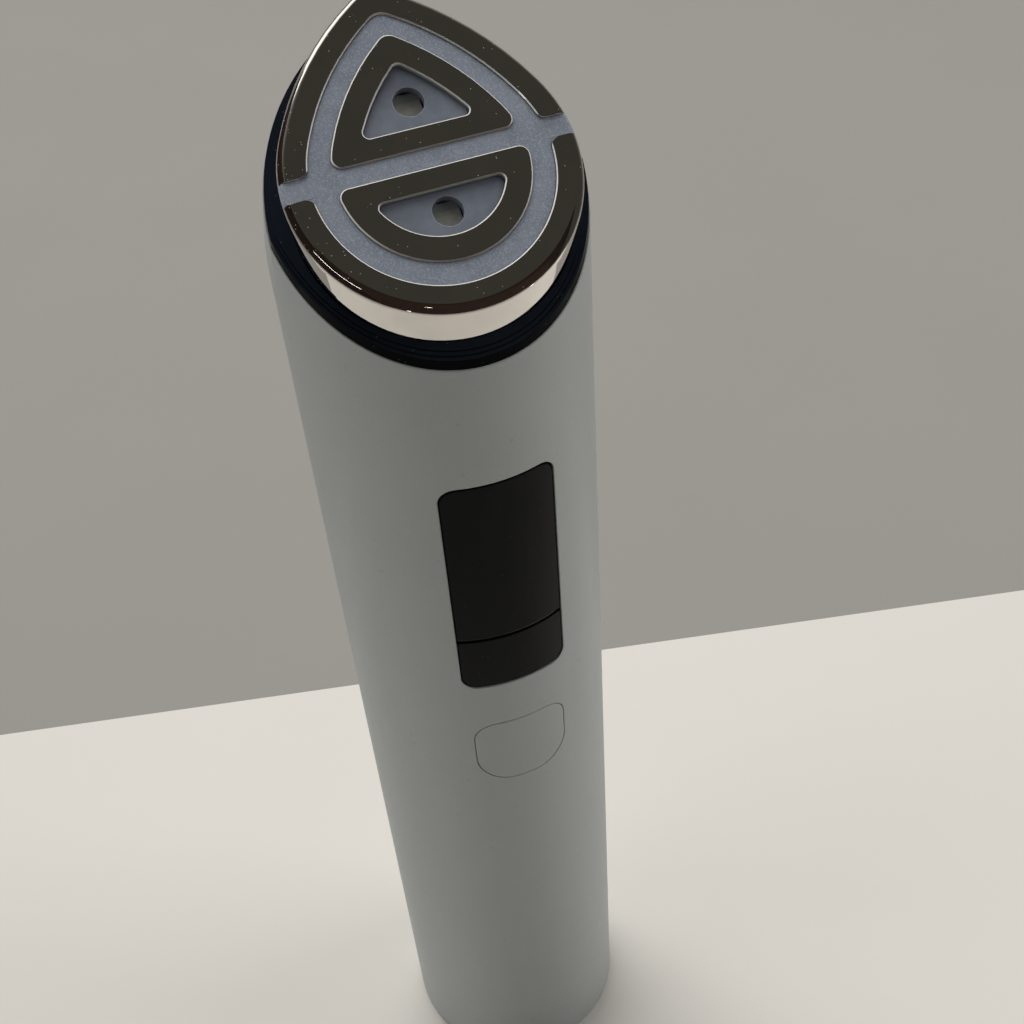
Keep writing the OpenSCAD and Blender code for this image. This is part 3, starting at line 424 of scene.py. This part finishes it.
def mirror_chrome(name, look, inner):
    """Bright chrome plate: hairline scratches both ways, haze and dust, most on the left.

    The bevels carry a painted highlight, brightest where they face up, on an outer electrode
    only on those that face the middle. An inner electrode's walls take up the light guide's tint.
    """
    finish = Finish(name)
    dust_colour = (0.62, 0.61, 0.59)
    # Colour of the painted highlight on the bevels
    painted_highlight_colour = (0.95, 0.94, 0.92)
    level = finish.level()
    bevel = level.step(0.50, 0.62) * level.step(0.92, 0.80)
    scuffed = finish.axis("X").step(-8, -13)
    haze = finish.noise(4.5, 4, twist=0.7)
    one_way = finish.noise(0.35, 2, finish.stretched(0.025, 1, 1)).step(0.66, 0.74)
    other_way = finish.noise(0.4, 2, finish.stretched(1, 0.03, 0.6)).step(0.68, 0.76)
    scratches = one_way.most(other_way) * finish.noise(3, 2).step(0.42, 0.62).most(scuffed)
    specks = finish.dust(0.36, look.dust + look.dust * 6 * scuffed)
    # Painted highlight: the bevels turn white and less metal, brightest where they face up
    edge_tone = bevel * (0.3 + 0.7 * finish.part(finish.facing(), "Z").step(0.15, 0.45))
    if not inner:
        edge_tone = edge_tone * finish.inward()
    tint = finish.mix(haze.step(0.3, 0.7), look.colour, toned(look.colour, 0.93))
    tint = finish.mix(0.7 * specks, tint, dust_colour)
    tint = finish.mix(edge_tone, tint, painted_highlight_colour)
    rough = look.roughness + 0.05 * haze.step(0.5, 0.8) + 0.16 * scratches + 0.3 * specks
    non_metal = edge_tone.most(0.6 * specks)
    if inner:
        wall = level.step(0.25, 0.15) * level.step(-0.25, -0.15)
        tint = finish.mix(0.9 * wall, tint, look.wall_colour)
        rough = rough + 0.3 * wall
        non_metal = non_metal.most(0.95 * wall)
    return finish.close(
        {"Base Color": tint, "Roughness": rough, "Metallic": 1 - non_metal},
        height=finish.noise(6, 1) + 0.02 * scratches + 0.05 * specks,
        depth=0.004,
        normal=finish.lifted(finish.rounded(0.05), look.lift),
    )


def scattering(weight, reach):
    """Sockets of a milky polymer that spreads light by less than reach millimetres."""
    return {
        "Subsurface Weight": weight,
        "Subsurface Radius": (0.5, 0.6, 0.8),
        "Subsurface Scale": reach * MM,
    }


def frosted_guide(name, look):
    """Frosted light guide: milky blue-grey polymer full of fine pearl flakes."""
    finish = Finish(name)
    flake = finish.cells(look.flake, output="Color")
    glint = finish.channel(flake, "Green").step(0.62, 1.0)
    spark = finish.dust(look.flake * 2.2, 0.30)
    cloud = finish.noise(2.2, 3)
    grain = finish.noise(0.14, 2)
    edge = finish.edges(0.12)
    flake_colour = (0.52, 0.56, 0.66)
    spark_colour = (0.70, 0.74, 0.80)
    edge_colour = (0.45, 0.50, 0.56)
    base = finish.mix(cloud.step(0.3, 0.7), toned(look.colour, 0.84), look.colour)
    base = finish.mix(0.4 * grain.step(0.4, 0.7), base, toned(look.colour, 1.25))
    base = finish.mix(look.sparkle * glint, base, flake_colour)
    base = finish.mix(0.6 * spark, base, spark_colour)
    base = finish.mix(0.25 * edge, base, edge_colour)
    rough = look.roughness + 0.12 * grain - 0.18 * glint
    return finish.close(
        {"Base Color": base, "Roughness": rough},
        {"IOR": 1.5, **scattering(0.12, 1.2)},
        height=grain + 0.5 * glint,
        depth=0.008,
        normal=finish.rounded(0.08),
    )


def clouded_window(name, look):
    """Moulded lamp window: satin skin, soft clouds, and painted shade darkening it towards its top.
    """
    finish = Finish(name)
    cloud = finish.noise(1.4, 3, twist=0.4)
    grain = finish.noise(0.2, 2)
    specks = finish.dust(0.5, 0.1)
    edge = finish.edges(0.12)
    colour = look.window_colour
    edge_colour = (0.50, 0.54, 0.58)
    dust_colour = (0.50, 0.52, 0.54)
    base = finish.mix(cloud.step(0.3, 0.7), toned(colour, 0.86), colour)
    # Painted shade darkens each window towards its top
    base = finish.mix(0.7 * finish.painted_window_shade(), base, toned(colour, 0.35))
    base = finish.mix(0.5 * edge, base, edge_colour)
    base = finish.mix(0.3 * specks, base, dust_colour)
    rough = 0.24 + 0.12 * grain + 0.1 * cloud
    return finish.close(
        {"Base Color": base, "Roughness": rough},
        {"IOR": 1.5, **scattering(0.15, 1.0)},
        height=grain + 2 * cloud,
        depth=0.006,
        normal=finish.rounded(0.1),
    )


def light_chip(name, look):
    """Lamp package: slightly yellow grey cover with pale edges, and painted shade above its lamp
    line.
    """
    finish = Finish(name)
    grain = finish.noise(0.12, 3)
    edge = finish.edges(0.2)
    rim_colour = (0.42, 0.41, 0.38)
    cover = finish.mix(finish.noise(0.5, 2).step(0.3, 0.7), look.lamp_colour,
                       toned(look.lamp_colour, 0.85))
    base = finish.mix(edge, cover, rim_colour)
    # Painted shade: the lamp's cover turns grey above its lamp line
    base = finish.mix(finish.below_lamp_shade(), PAINTED_LAMP_SHADE, base)
    return finish.close(
        {"Base Color": base, "Roughness": 0.42 + 0.2 * grain},
        {"IOR": 1.52},
        height=grain,
        depth=0.01,
        normal=finish.rounded(0.06),
    )


def soft_rubber(name, colour):
    """Moulded silicone: fine matt grain, mould bloom and lint."""
    finish = Finish(name)
    grain = finish.noise(0.16, 3)
    bloom = finish.noise(3, 3, twist=0.5)
    lint = finish.dust(0.9, 0.12)
    lint_colour = (0.30, 0.30, 0.29)
    base = finish.mix(bloom.step(0.35, 0.7), colour, toned(colour, 1.35, 0.004))
    base = finish.mix(0.5 * lint, base, lint_colour)
    base = finish.mix(0.4 * finish.edges(0.2), base, toned(colour, 1.6, 0.01))
    return finish.close(
        {"Base Color": base, "Roughness": 0.68 + 0.14 * grain + 0.08 * bloom},
        {"IOR": 1.45, "Specular IOR Level": 0.35},
        height=grain,
        depth=0.015,
        normal=finish.rounded(0.12),
    )


def circuit_board(name, colour, field_colour=None):
    """Solder mask over copper: square-cornered tracks, vias and tinned pads.

    A field_colour adds the pale fields round the lamps, with nothing printed on them, and painted
    shade on their part above the lamp lines.
    """
    finish = Finish(name)
    pad_colour = (0.62, 0.60, 0.52)
    hole_colour = (0.03, 0.03, 0.03)
    near = finish.cells(1.5, "F1", "MANHATTAN")
    far = finish.cells(1.5, "F2", "MANHATTAN")
    tracks = (far - near).step(0.16, 0.08)
    vias = finish.cells(1.9).step(0.13, 0.10)
    ring = finish.cells(1.9).step(0.20, 0.17)
    grain = finish.noise(0.3, 3)
    base = finish.mix(grain.step(0.3, 0.7), colour, toned(colour, 0.8))
    base = finish.mix(0.75 * tracks, base, toned(colour, 1.9, 0.01))
    base = finish.mix(ring, base, pad_colour)
    base = finish.mix(vias, base, hole_colour)
    bare = ring * (1 - vias)
    if field_colour:
        side = finish.axis("X")
        half_width, blur = 3.6, 0.1
        field = side.step(-half_width, blur - half_width) * side.step(half_width, half_width - blur)
        field = field * finish.level().step(0.8, 0.9)
        pale = finish.mix(grain.step(0.3, 0.7), field_colour, toned(field_colour, 0.88))
        # Painted shade: the lamp fields turn grey above the lamp lines
        base = finish.mix(field, base, finish.mix(finish.below_lamp_shade(), PAINTED_LAMP_SHADE, pale))
        bare = bare * (1 - field)
    return finish.close(
        {"Base Color": base, "Roughness": 0.3 + 0.12 * grain + 0.1 * bare, "Metallic": bare},
        {"IOR": 1.55},
        height=tracks + ring,
        depth=0.02,
        normal=finish.rounded(0.05),
    )


def black_epoxy(name, colour):
    """Chip and switch housings: fine matt epoxy with mould marks and polished edges."""
    finish = Finish(name)
    grain = finish.noise(0.1, 3)
    tone = finish.noise(1.5, 3)
    edge_tone = finish.edges(0.1)
    polished_colour = (0.14, 0.14, 0.14)
    base = finish.mix(tone.step(0.3, 0.7), colour, toned(colour, 1.5, 0.004))
    base = finish.mix(0.4 * edge_tone, base, polished_colour)
    return finish.close(
        {"Base Color": base, "Roughness": 0.5 + 0.2 * grain - 0.1 * edge_tone},
        {"IOR": 1.5},
        height=grain,
        depth=0.01,
        normal=finish.rounded(0.08),
    )


def turned_metal(name, colour, roughness):
    """Plated or stainless parts: fine drawn lines, pale worn edges, faint tarnish."""
    finish = Finish(name)
    lines = finish.noise(0.12, 3, finish.stretched(1, 1, 0.06))
    tarnish = finish.noise(2.5, 4, twist=0.6)
    specks = finish.dust(0.6, 0.1)
    edge_tone = finish.edges(0.08)
    base = finish.mix(tarnish.step(0.35, 0.75), colour, toned(colour, 0.8))
    base = finish.mix(0.5 * edge_tone, base, toned(colour, 1.2))
    base = finish.mix(0.5 * specks, base, toned(colour, 0.5))
    rough = roughness + 0.12 * lines + 0.1 * tarnish.step(0.5, 0.8) + 0.2 * specks
    return finish.close(
        {"Base Color": base, "Roughness": rough, "Metallic": 1 - 0.3 * specks},
        height=lines,
        depth=0.006,
        normal=finish.rounded(0.06),
    )


def glass_nylon(name, colour):
    """Fibre-filled grey nylon of the inner frames: swirled fibres and flow marks."""
    finish = Finish(name)
    fibres = finish.noise(0.5, 3, finish.stretched(1, 0.25, 1), twist=2.0).step(0.55, 0.72)
    flow = finish.noise(7, 3, twist=1.0)
    grain = finish.noise(0.2, 2)
    base = finish.mix(flow.step(0.3, 0.7), colour, toned(colour, 0.82))
    base = finish.mix(0.3 * fibres, base, toned(colour, 1.5))
    base = finish.mix(0.4 * finish.edges(0.15), base, toned(colour, 1.3))
    return finish.close(
        {"Base Color": base, "Roughness": 0.5 + 0.1 * grain - 0.08 * fibres},
        {"IOR": 1.53},
        height=grain + 0.5 * fibres,
        depth=0.012,
        normal=finish.rounded(0.1),
    )


def cell_sleeve(name, colour):
    """Battery sleeve: shrunk film with fine wrinkles, and bare metal at both ends."""
    finish = Finish(name)
    wrinkle = finish.noise(1.2, 3, finish.stretched(1, 1, 0.25), twist=0.8)
    height = finish.axis("Z")
    low, high = (corner.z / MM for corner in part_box("battery_cell"))
    bare_to, sleeve_from = 0.3, 0.5
    bare = height.step(low + sleeve_from, low + bare_to).most(
        height.step(high - sleeve_from, high - bare_to)
    )
    grain = finish.noise(0.3, 2)
    can_colour = (0.55, 0.54, 0.50)
    base = finish.mix(wrinkle.step(0.3, 0.7), colour, toned(colour, 0.8))
    base = finish.mix(bare, base, can_colour)
    return finish.close(
        {"Base Color": base, "Roughness": 0.26 + 0.1 * wrinkle + 0.08 * grain, "Metallic": bare},
        {"IOR": 1.5},
        height=wrinkle + 0.2 * grain,
        depth=0.03,
        normal=finish.rounded(0.15),
    )


def copper_film(name, colour):
    """Amber film cable and plungers: copper tracks seen through the film."""
    finish = Finish(name)
    tracks_per_mm = 1.6
    tracks = (finish.axis("X") * tracks_per_mm).fraction().step(0.42, 0.52)
    film = finish.noise(0.6, 3)
    track_colour = (0.60, 0.30, 0.12)
    base = finish.mix(film.step(0.3, 0.7), colour, toned(colour, 0.75))
    base = finish.mix(0.45 * tracks, base, track_colour)
    return finish.close(
        {"Base Color": base, "Roughness": 0.28 + 0.14 * film},
        {"IOR": 1.6},
        height=tracks + 0.3 * film,
        depth=0.012,
        normal=finish.rounded(0.04),
    )


def painted_board(name, colour, roughness):
    """Floor, ground and cards: painted sheet with a faint mottle and fine tooth."""
    finish = Finish(name)
    mottle = finish.noise(60, 4)
    tooth = finish.noise(0.8, 3)
    base = finish.mix(mottle.step(0.3, 0.7), toned(colour, 0.985), colour)
    return finish.close(
        {"Base Color": base, "Roughness": roughness + 0.08 * tooth},
        {"Specular IOR Level": 0.3},
        height=tooth,
        depth=0.01,
    )


# ---- settings ----

def colour_setting(name, description, default):
    return FloatVectorProperty(
        name=name, description=description, default=default, subtype="COLOR",
        size=3, min=0.0, max=1.0,
    )


def share_setting(name, description, default):
    return FloatProperty(
        name=name, description=description, default=default, min=0.0, max=1.0,
        subtype="FACTOR",
    )


def millimetres(name, description, default, low, high):
    return FloatProperty(name=name, description=description, default=default, min=low, max=high)


def length_setting(name, description, default):
    return FloatProperty(
        name=name, description=description, default=default, subtype="DISTANCE", unit="LENGTH"
    )


class TONER_PG_shell(bpy.types.PropertyGroup):
    colour: colour_setting("Colour", "Colour of the grip, the base and the power key",
                           (0.41, 0.438, 0.442))
    roughness: share_setting("Roughness", "How matt the moulded grip is", 0.46)
    grain: millimetres("Grain", "Width of the grip's moulded grain, in millimetres",
                       0.22, 0.05, 2.0)


class TONER_PG_lens(bpy.types.PropertyGroup):
    colour: colour_setting("Colour", "Colour of the display lens and the mode key",
                           (0.004, 0.004, 0.005))
    roughness: share_setting("Roughness", "Roughness of the lens where it is clean", 0.14)


class TONER_PG_ring(bpy.types.PropertyGroup):
    colour: colour_setting("Colour", "Colour of the ring round the head",
                           (0.0012, 0.0014, 0.002))
    # Partly the ring's navy, partly a painted reflection of the bright skirt
    lip_tint_and_reflection: colour_setting("Cast", "Blue cast on the ring's steps", (0.018, 0.024, 0.036))
    roughness: share_setting("Roughness", "Roughness of the ring where it is clean", 0.12)


class TONER_PG_chrome(bpy.types.PropertyGroup):
    colour: colour_setting("Tint", "Tint of the electrodes' mirror", (0.77, 0.735, 0.695))
    roughness: share_setting("Roughness", "Roughness of the clean mirror", 0.035)
    dust: share_setting("Dust", "Share of the surface's cells that hold a speck", 0.07)
    wall_colour: colour_setting("Walls", "Tint of the walls round the two windows",
                                (0.16, 0.18, 0.21))
    lift: share_setting("Lift", "How far the skirt's shading turns up, as if it bulged", 0.40)


class TONER_PG_guide(bpy.types.PropertyGroup):
    colour: colour_setting("Colour", "Colour of the frosted light guide", (0.30, 0.34, 0.42))
    roughness: share_setting("Roughness", "Roughness of the frosted face", 0.40)
    flake: millimetres("Flake", "Width of the pearl flakes, in millimetres", 0.12, 0.05, 1.0)
    sparkle: share_setting("Sparkle", "How much the pearl flakes stand out", 0.50)
    window_colour: colour_setting("Window", "Colour of the two lamp windows",
                                  (0.245, 0.275, 0.338))
    lamp_colour: colour_setting("Lamp", "Colour of the lamps' covers", (0.36, 0.36, 0.33))


class TONER_PG_inside(bpy.types.PropertyGroup):
    board_colour: colour_setting("Boards", "Colour of the boards' solder mask",
                                 (0.02, 0.16, 0.07))
    lamp_board_colour: colour_setting("Lamp board", "Colour of the lamps' board",
                                      (0.032, 0.034, 0.034))
    lamp_field_colour: colour_setting("Lamp fields", "Colour of the pale fields round the lamps",
                                      (0.34, 0.34, 0.32))
    frame_colour: colour_setting("Frames", "Colour of the inner frames", (0.14, 0.145, 0.155))
    chip_colour: colour_setting("Chips", "Colour of chips and switches", (0.012, 0.012, 0.013))
    rubber_colour: colour_setting("Rubber", "Colour of the foot and seals",
                                  (0.055, 0.057, 0.062))
    cell_colour: colour_setting("Battery", "Colour of the battery's sleeve",
                                (0.03, 0.12, 0.35))
    film_colour: colour_setting("Film", "Colour of the film cable and plungers",
                                (0.42, 0.20, 0.04))
    steel_colour: colour_setting("Steel", "Colour of screws, motor and socket",
                                 (0.60, 0.60, 0.61))
    nickel_colour: colour_setting("Nickel", "Colour of the motor's weight and battery's tabs",
                                  (0.62, 0.58, 0.50))
    gold_colour: colour_setting("Gold", "Colour of the contact pins", (0.83, 0.58, 0.24))


class TONER_PG_stage(bpy.types.PropertyGroup):
    floor_colour: colour_setting("Floor", "Colour of the floor it stands on",
                                 (0.83, 0.81, 0.775))
    backdrop_colour: colour_setting("Backdrop", "Colour of the ground beyond the floor",
                                    (0.358, 0.355, 0.335))
    dark_colour: colour_setting("Dark", "Colour of the unlit part of the room above",
                                (0.067, 0.065, 0.053))
    room_colour: colour_setting("Room", "Colour of the rest of the room", (0.34, 0.335, 0.32))
    window_colour: colour_setting("Window", "Colour of the bright window behind",
                                  (1.0, 0.981, 0.923))
    window_light: FloatProperty(name="Window light", min=0.0, default=2.6,
                                description="Brightness of the bright window behind")
    card_colour: colour_setting("Cards", "Colour of the dark cards", (0.025, 0.015, 0.012))
    floor_end: length_setting("Floor end", "Distance of the floor's far edge behind the grip",
                              0.0626)
    floor_turn: FloatProperty(name="Floor turn", description="Angle of the floor's far edge",
                              default=math.radians(-13.75), subtype="ANGLE")
    left_power: FloatProperty(name="Left light", description="Power of the light on the left",
                              default=1.1, min=0.0, unit="POWER")
    right_power: FloatProperty(name="Right light", description="Power of the light on the right",
                               default=2.6, min=0.0, unit="POWER")
    top_power: FloatProperty(name="Top light", description="Power of the light above",
                             default=7.2, min=0.0, unit="POWER")
    glint_power: FloatProperty(name="Glints", description="Power per square metre of the glints",
                               default=14.0, min=0.0)
    room_light: FloatProperty(name="Room light", description="Brightness of the room around",
                              default=0.64, min=0.0)
    lens: FloatProperty(name="Lens", description="Focal length of the camera, in millimetres",
                        default=49.35, min=10.0)
    heading: FloatProperty(name="Heading", description="Turn of the camera about the vertical",
                           default=math.radians(-17.84), subtype="ANGLE")
    pitch: FloatProperty(name="Pitch", description="How far the camera looks down",
                         default=math.radians(44.08), subtype="ANGLE")
    roll: FloatProperty(name="Roll", description="Roll of the camera",
                        default=math.radians(-4.90), subtype="ANGLE")
    place: FloatVectorProperty(name="Place", description="Where the camera stands",
                               default=(-0.0299, -0.11155, 0.2139), size=3,
                               subtype="TRANSLATION", unit="LENGTH")


# ---- operators ----

class TONER_OT_shell(bpy.types.Operator):
    """Finish the grip tube, the base cap and the power key in matt moulded plastic."""

    bl_idname = "toner.shell"
    bl_label = "Grip and power key"

    def execute(self, context):
        look = context.scene.toner_shell
        dress(moulded_shell("matt_shell", look), "grip_tube", "base_cap", "power_key")
        return {"FINISHED"}


class TONER_OT_lens(bpy.types.Operator):
    """Finish the display lens and the mode key in gloss black."""

    bl_idname = "toner.lens"
    bl_label = "Display lens and mode key"

    def execute(self, context):
        look = context.scene.toner_lens
        dress(black_lens("gloss_black", look), "display_lens", "mode_key")
        return {"FINISHED"}


class TONER_OT_ring(bpy.types.Operator):
    """Finish the ring between the grip and the head in gloss navy-black."""

    bl_idname = "toner.ring"
    bl_label = "Bezel ring"

    def execute(self, context):
        dress(navy_ring("gloss_navy", context.scene.toner_ring), "bezel_ring")
        shade_evenly("bezel_ring")
        return {"FINISHED"}


class TONER_OT_electrodes(bpy.types.Operator):
    """Finish the four electrodes in mirror chrome."""

    bl_idname = "toner.electrodes"
    bl_label = "Electrodes"

    def execute(self, context):
        look = context.scene.toner_chrome
        dress(mirror_chrome("outer_chrome", look, inner=False), *OUTER_ELECTRODES)
        dress(mirror_chrome("inner_chrome", look, inner=True), *INNER_ELECTRODES)
        shade_evenly(*OUTER_ELECTRODES, *INNER_ELECTRODES)
        return {"FINISHED"}


class TONER_OT_guide(bpy.types.Operator):
    """Finish the light guide, its two windows and the lamps behind them."""

    bl_idname = "toner.guide"
    bl_label = "Light guide, windows and lamps"

    def execute(self, context):
        look = context.scene.toner_guide
        dress(frosted_guide("frosted_guide", look), "diffuser")
        dress(clouded_window("clouded_window", look), "upper_window", "lower_window")
        dress(light_chip("lamp_package", look), "led_chips")
        shade_evenly("diffuser", "upper_window", "lower_window")
        return {"FINISHED"}


class TONER_OT_rubber(bpy.types.Operator):
    """Finish the foot, the seals, the battery pad and the motor's block in rubber."""

    bl_idname = "toner.rubber"
    bl_label = "Rubber pieces"

    def execute(self, context):
        dress(
            soft_rubber("soft_rubber", context.scene.toner_inside.rubber_colour),
            "foot_pad", "seal_ring", "key_seal", "battery_pad", "motor_mount",
        )
        return {"FINISHED"}


class TONER_OT_boards(bpy.types.Operator):
    """Finish the circuit boards, and the chips, switches and housings in black epoxy."""

    bl_idname = "toner.boards"
    bl_label = "Boards, chips and housings"

    def execute(self, context):
        look = context.scene.toner_inside
        dress(circuit_board("green_mask", look.board_colour), "main_board", "charge_board")
        dress(circuit_board("grey_mask", look.lamp_board_colour, look.lamp_field_colour),
              "led_board")
        dress(black_epoxy("black_epoxy", look.chip_colour),
              "board_chips", "mode_switch", "power_switch", "buzzer", "usb_tongue",
              "display_module")
        return {"FINISHED"}


class TONER_OT_metals(bpy.types.Operator):
    """Finish the screws, the socket's shell, the motor, the tabs and the pins."""

    bl_idname = "toner.metals"
    bl_label = "Small metal pieces"

    def execute(self, context):
        look = context.scene.toner_inside
        dress(turned_metal("bright_steel", look.steel_colour, 0.22),
              "base_screws", "board_screws", "head_screws", "usb_shell", "motor_can",
              "motor_shaft")
        dress(turned_metal("soft_nickel", look.nickel_colour, 0.30),
              "motor_weight", "battery_tabs")
        dress(turned_metal("pin_gold", look.gold_colour, 0.18), "contact_pins")
        return {"FINISHED"}


class TONER_OT_frames(bpy.types.Operator):
    """Finish the chassis, the lens frame and the head carrier in filled nylon."""

    bl_idname = "toner.frames"
    bl_label = "Inner frames"

    def execute(self, context):
        dress(glass_nylon("filled_nylon", context.scene.toner_inside.frame_colour),
              "chassis", "lens_frame", "head_carrier")
        return {"FINISHED"}


class TONER_OT_battery(bpy.types.Operator):
    """Finish the battery cell in its shrunk sleeve."""

    bl_idname = "toner.battery"
    bl_label = "Battery cell"

    def execute(self, context):
        dress(cell_sleeve("cell_sleeve", context.scene.toner_inside.cell_colour),
              "battery_cell")
        return {"FINISHED"}


class TONER_OT_film(bpy.types.Operator):
    """Finish the film cable and the switches' plungers."""

    bl_idname = "toner.film"
    bl_label = "Film cable and plungers"

    def execute(self, context):
        dress(copper_film("amber_film", context.scene.toner_inside.film_colour),
              "head_flex", "mode_plunger", "power_plunger")
        return {"FINISHED"}


def stage_quad(name, corners, material):
    """One flat four-cornered sheet that belongs to the stage."""
    mesh = bpy.data.meshes.new(name)
    mesh.from_pydata(corners, [], [(0, 1, 2, 3)])
    mesh.materials.append(material)
    quad = bpy.data.objects.new(name, mesh)
    bpy.context.scene.collection.objects.link(quad)
    return quad


def level_sheet(name, near, far, height, turn, material):
    """A wide level sheet from near to far behind the grip, turned about the grip's axis."""
    sides = ((-SHEET_REACH, near), (SHEET_REACH, near), (SHEET_REACH, far), (-SHEET_REACH, far))
    rotation = Matrix.Rotation(turn, 4, "Z")
    stage_quad(name, [rotation @ Vector((x, y, height)) for x, y in sides], material)


def area_light(name, power, size, place, target, glossy=False):
    """A light aimed at target; the gloss mirrors its shape only where glossy is set."""
    light = bpy.data.lights.new(name, "AREA")
    light.shape = "RECTANGLE"
    light.size, light.size_y = size
    light.energy = power
    light.color = WARM_WHITE
    lamp = bpy.data.objects.new(name, light)
    lamp.location = place
    aim = Vector(target) - Vector(place)
    lamp.rotation_euler = aim.to_track_quat("-Z", "Y").to_euler()
    lamp.visible_glossy = glossy
    bpy.context.scene.collection.objects.link(lamp)


def dark_card(name, start, end, reach, material):
    """An upright card over the line from start to end, seen only by the part's gloss."""
    low, high = reach
    corners = [(*start, low), (*end, low), (*end, high), (*start, high)]
    card = stage_quad(name, corners, material)
    card.visible_camera = False
    card.visible_diffuse = False
    card.visible_shadow = False


class TONER_OT_stage(bpy.types.Operator):
    """Lay the pale floor and the grey ground behind it, and set the light and camera."""

    bl_idname = "toner.stage"
    bl_label = "Floor, light and camera"

    def execute(self, context):
        look = context.scene.toner_stage
        level_sheet("floor", -SHEET_REACH, look.floor_end, 0, look.floor_turn,
                    painted_board("floor_paint", look.floor_colour, 0.5))
        level_sheet("backdrop", look.floor_end - GROUND_LAP, GROUND_END, -GROUND_DROP,
                    look.floor_turn, painted_board("backdrop_paint", look.backdrop_colour, 0.6))
        for side, (size, place, target) in SOFT_LIGHTS.items():
            area_light(side + "_light", getattr(look, side + "_power"), size, place, target)
        for name, size, place in GLINTS:
            power = look.glint_power * size[0] * size[1]
            area_light(name, power, size, place, HEAD_PLACE, glossy=True)
        card_paint = painted_board("card_paint", look.card_colour, 0.9)
        for name, start, end, reach in DARK_CARDS:
            dark_card(name, start, end, reach, card_paint)
        context.scene.world = lit_room(look)
        context.scene.view_settings.view_transform = "Standard"
        context.scene.camera = placed_camera(look)
        return {"FINISHED"}


def placed_camera(look):
    """The camera, turned by its heading, pitch and roll and put in its place."""
    camera = bpy.data.cameras.new("camera")
    camera.lens = look.lens
    camera.sensor_width = 36
    camera.clip_start = 0.01
    eye = bpy.data.objects.new("camera", camera)
    eye.matrix_world = (
        Matrix.Translation(look.place)
        @ Matrix.Rotation(look.heading, 4, "Z")
        @ Matrix.Rotation(math.pi / 2 - look.pitch, 4, "X")
        @ Matrix.Rotation(look.roll, 4, "Z")
    )
    bpy.context.scene.collection.objects.link(eye)
    return eye


def lit_room(look):
    """An even room, dark up and to the front, with one bright window high behind.

    The camera sees a plain backdrop in the room's place.
    """
    world = bpy.data.worlds.new("room")
    world.use_nodes = True
    tree = world.node_tree
    tree.nodes.clear()
    towards = add_node(tree, "ShaderNodeTexCoord", output="Generated")
    dark, window = (
        vector_math(tree, "DOT_PRODUCT", towards, direction, output="Value")
        for direction in (DARK_WAY, WINDOW_WAY)
    )
    bright = [part * look.window_light for part in look.window_colour]
    colour = mix_colours(tree, window.step(0.93, 0.97), look.room_colour, bright)
    colour = mix_colours(tree, dark.step(0.0, 0.6), colour, look.dark_colour)
    room = add_node(
        tree, "ShaderNodeBackground", None, {"Color": colour, "Strength": look.room_light}
    )
    plain = add_node(tree, "ShaderNodeBackground", None, {"Color": rgba(look.backdrop_colour)})
    seen = add_node(tree, "ShaderNodeLightPath", output="Is Camera Ray")
    both = add_node(tree, "ShaderNodeMixShader", None, {0: seen, 1: room, 2: plain})
    out = tree.nodes.new("ShaderNodeOutputWorld")
    tree.links.new(both.socket, out.inputs["Surface"])
    return world


STEPS = (
    ("shell", TONER_PG_shell, TONER_OT_shell),
    ("lens", TONER_PG_lens, TONER_OT_lens),
    ("ring", TONER_PG_ring, TONER_OT_ring),
    ("chrome", TONER_PG_chrome, TONER_OT_electrodes),
    ("guide", TONER_PG_guide, TONER_OT_guide),
    ("inside", TONER_PG_inside, TONER_OT_rubber),
    ("inside", TONER_PG_inside, TONER_OT_boards),
    ("inside", TONER_PG_inside, TONER_OT_metals),
    ("inside", TONER_PG_inside, TONER_OT_frames),
    ("inside", TONER_PG_inside, TONER_OT_battery),
    ("inside", TONER_PG_inside, TONER_OT_film),
    ("stage", TONER_PG_stage, TONER_OT_stage),
)
GROUPS = {key: group for key, group, _ in STEPS}


class TONER_PT_panel(bpy.types.Panel):
    """Lists the toning device's finishes and their settings."""

    bl_idname = "TONER_PT_panel"
    bl_label = "Toning device"
    bl_space_type = "VIEW_3D"
    bl_region_type = "UI"
    bl_category = "Toning device"

    def draw(self, context):
        layout = self.layout
        for key, group in GROUPS.items():
            box = layout.box()
            settings = getattr(context.scene, "toner_" + key)
            for setting in group.__annotations__:
                box.prop(settings, setting)
            for owner, _, operator in STEPS:
                if owner == key:
                    box.operator(operator.bl_idname)


def register():
    for group in GROUPS.values():
        bpy.utils.register_class(group)
    for _, _, operator in STEPS:
        bpy.utils.register_class(operator)
    bpy.utils.register_class(TONER_PT_panel)
    for key, group in GROUPS.items():
        setattr(bpy.types.Scene, "toner_" + key, PointerProperty(type=group))


def unregister():
    for key in GROUPS:
        delattr(bpy.types.Scene, "toner_" + key)
    bpy.utils.unregister_class(TONER_PT_panel)
    for _, _, operator in STEPS:
        bpy.utils.unregister_class(operator)
    for group in GROUPS.values():
        bpy.utils.unregister_class(group)


def main():
    register()
    for _, _, operator in STEPS:
        group, call = operator.bl_idname.split(".")
        getattr(getattr(bpy.ops, group), call)()


if __name__ == "__main__":
    main()
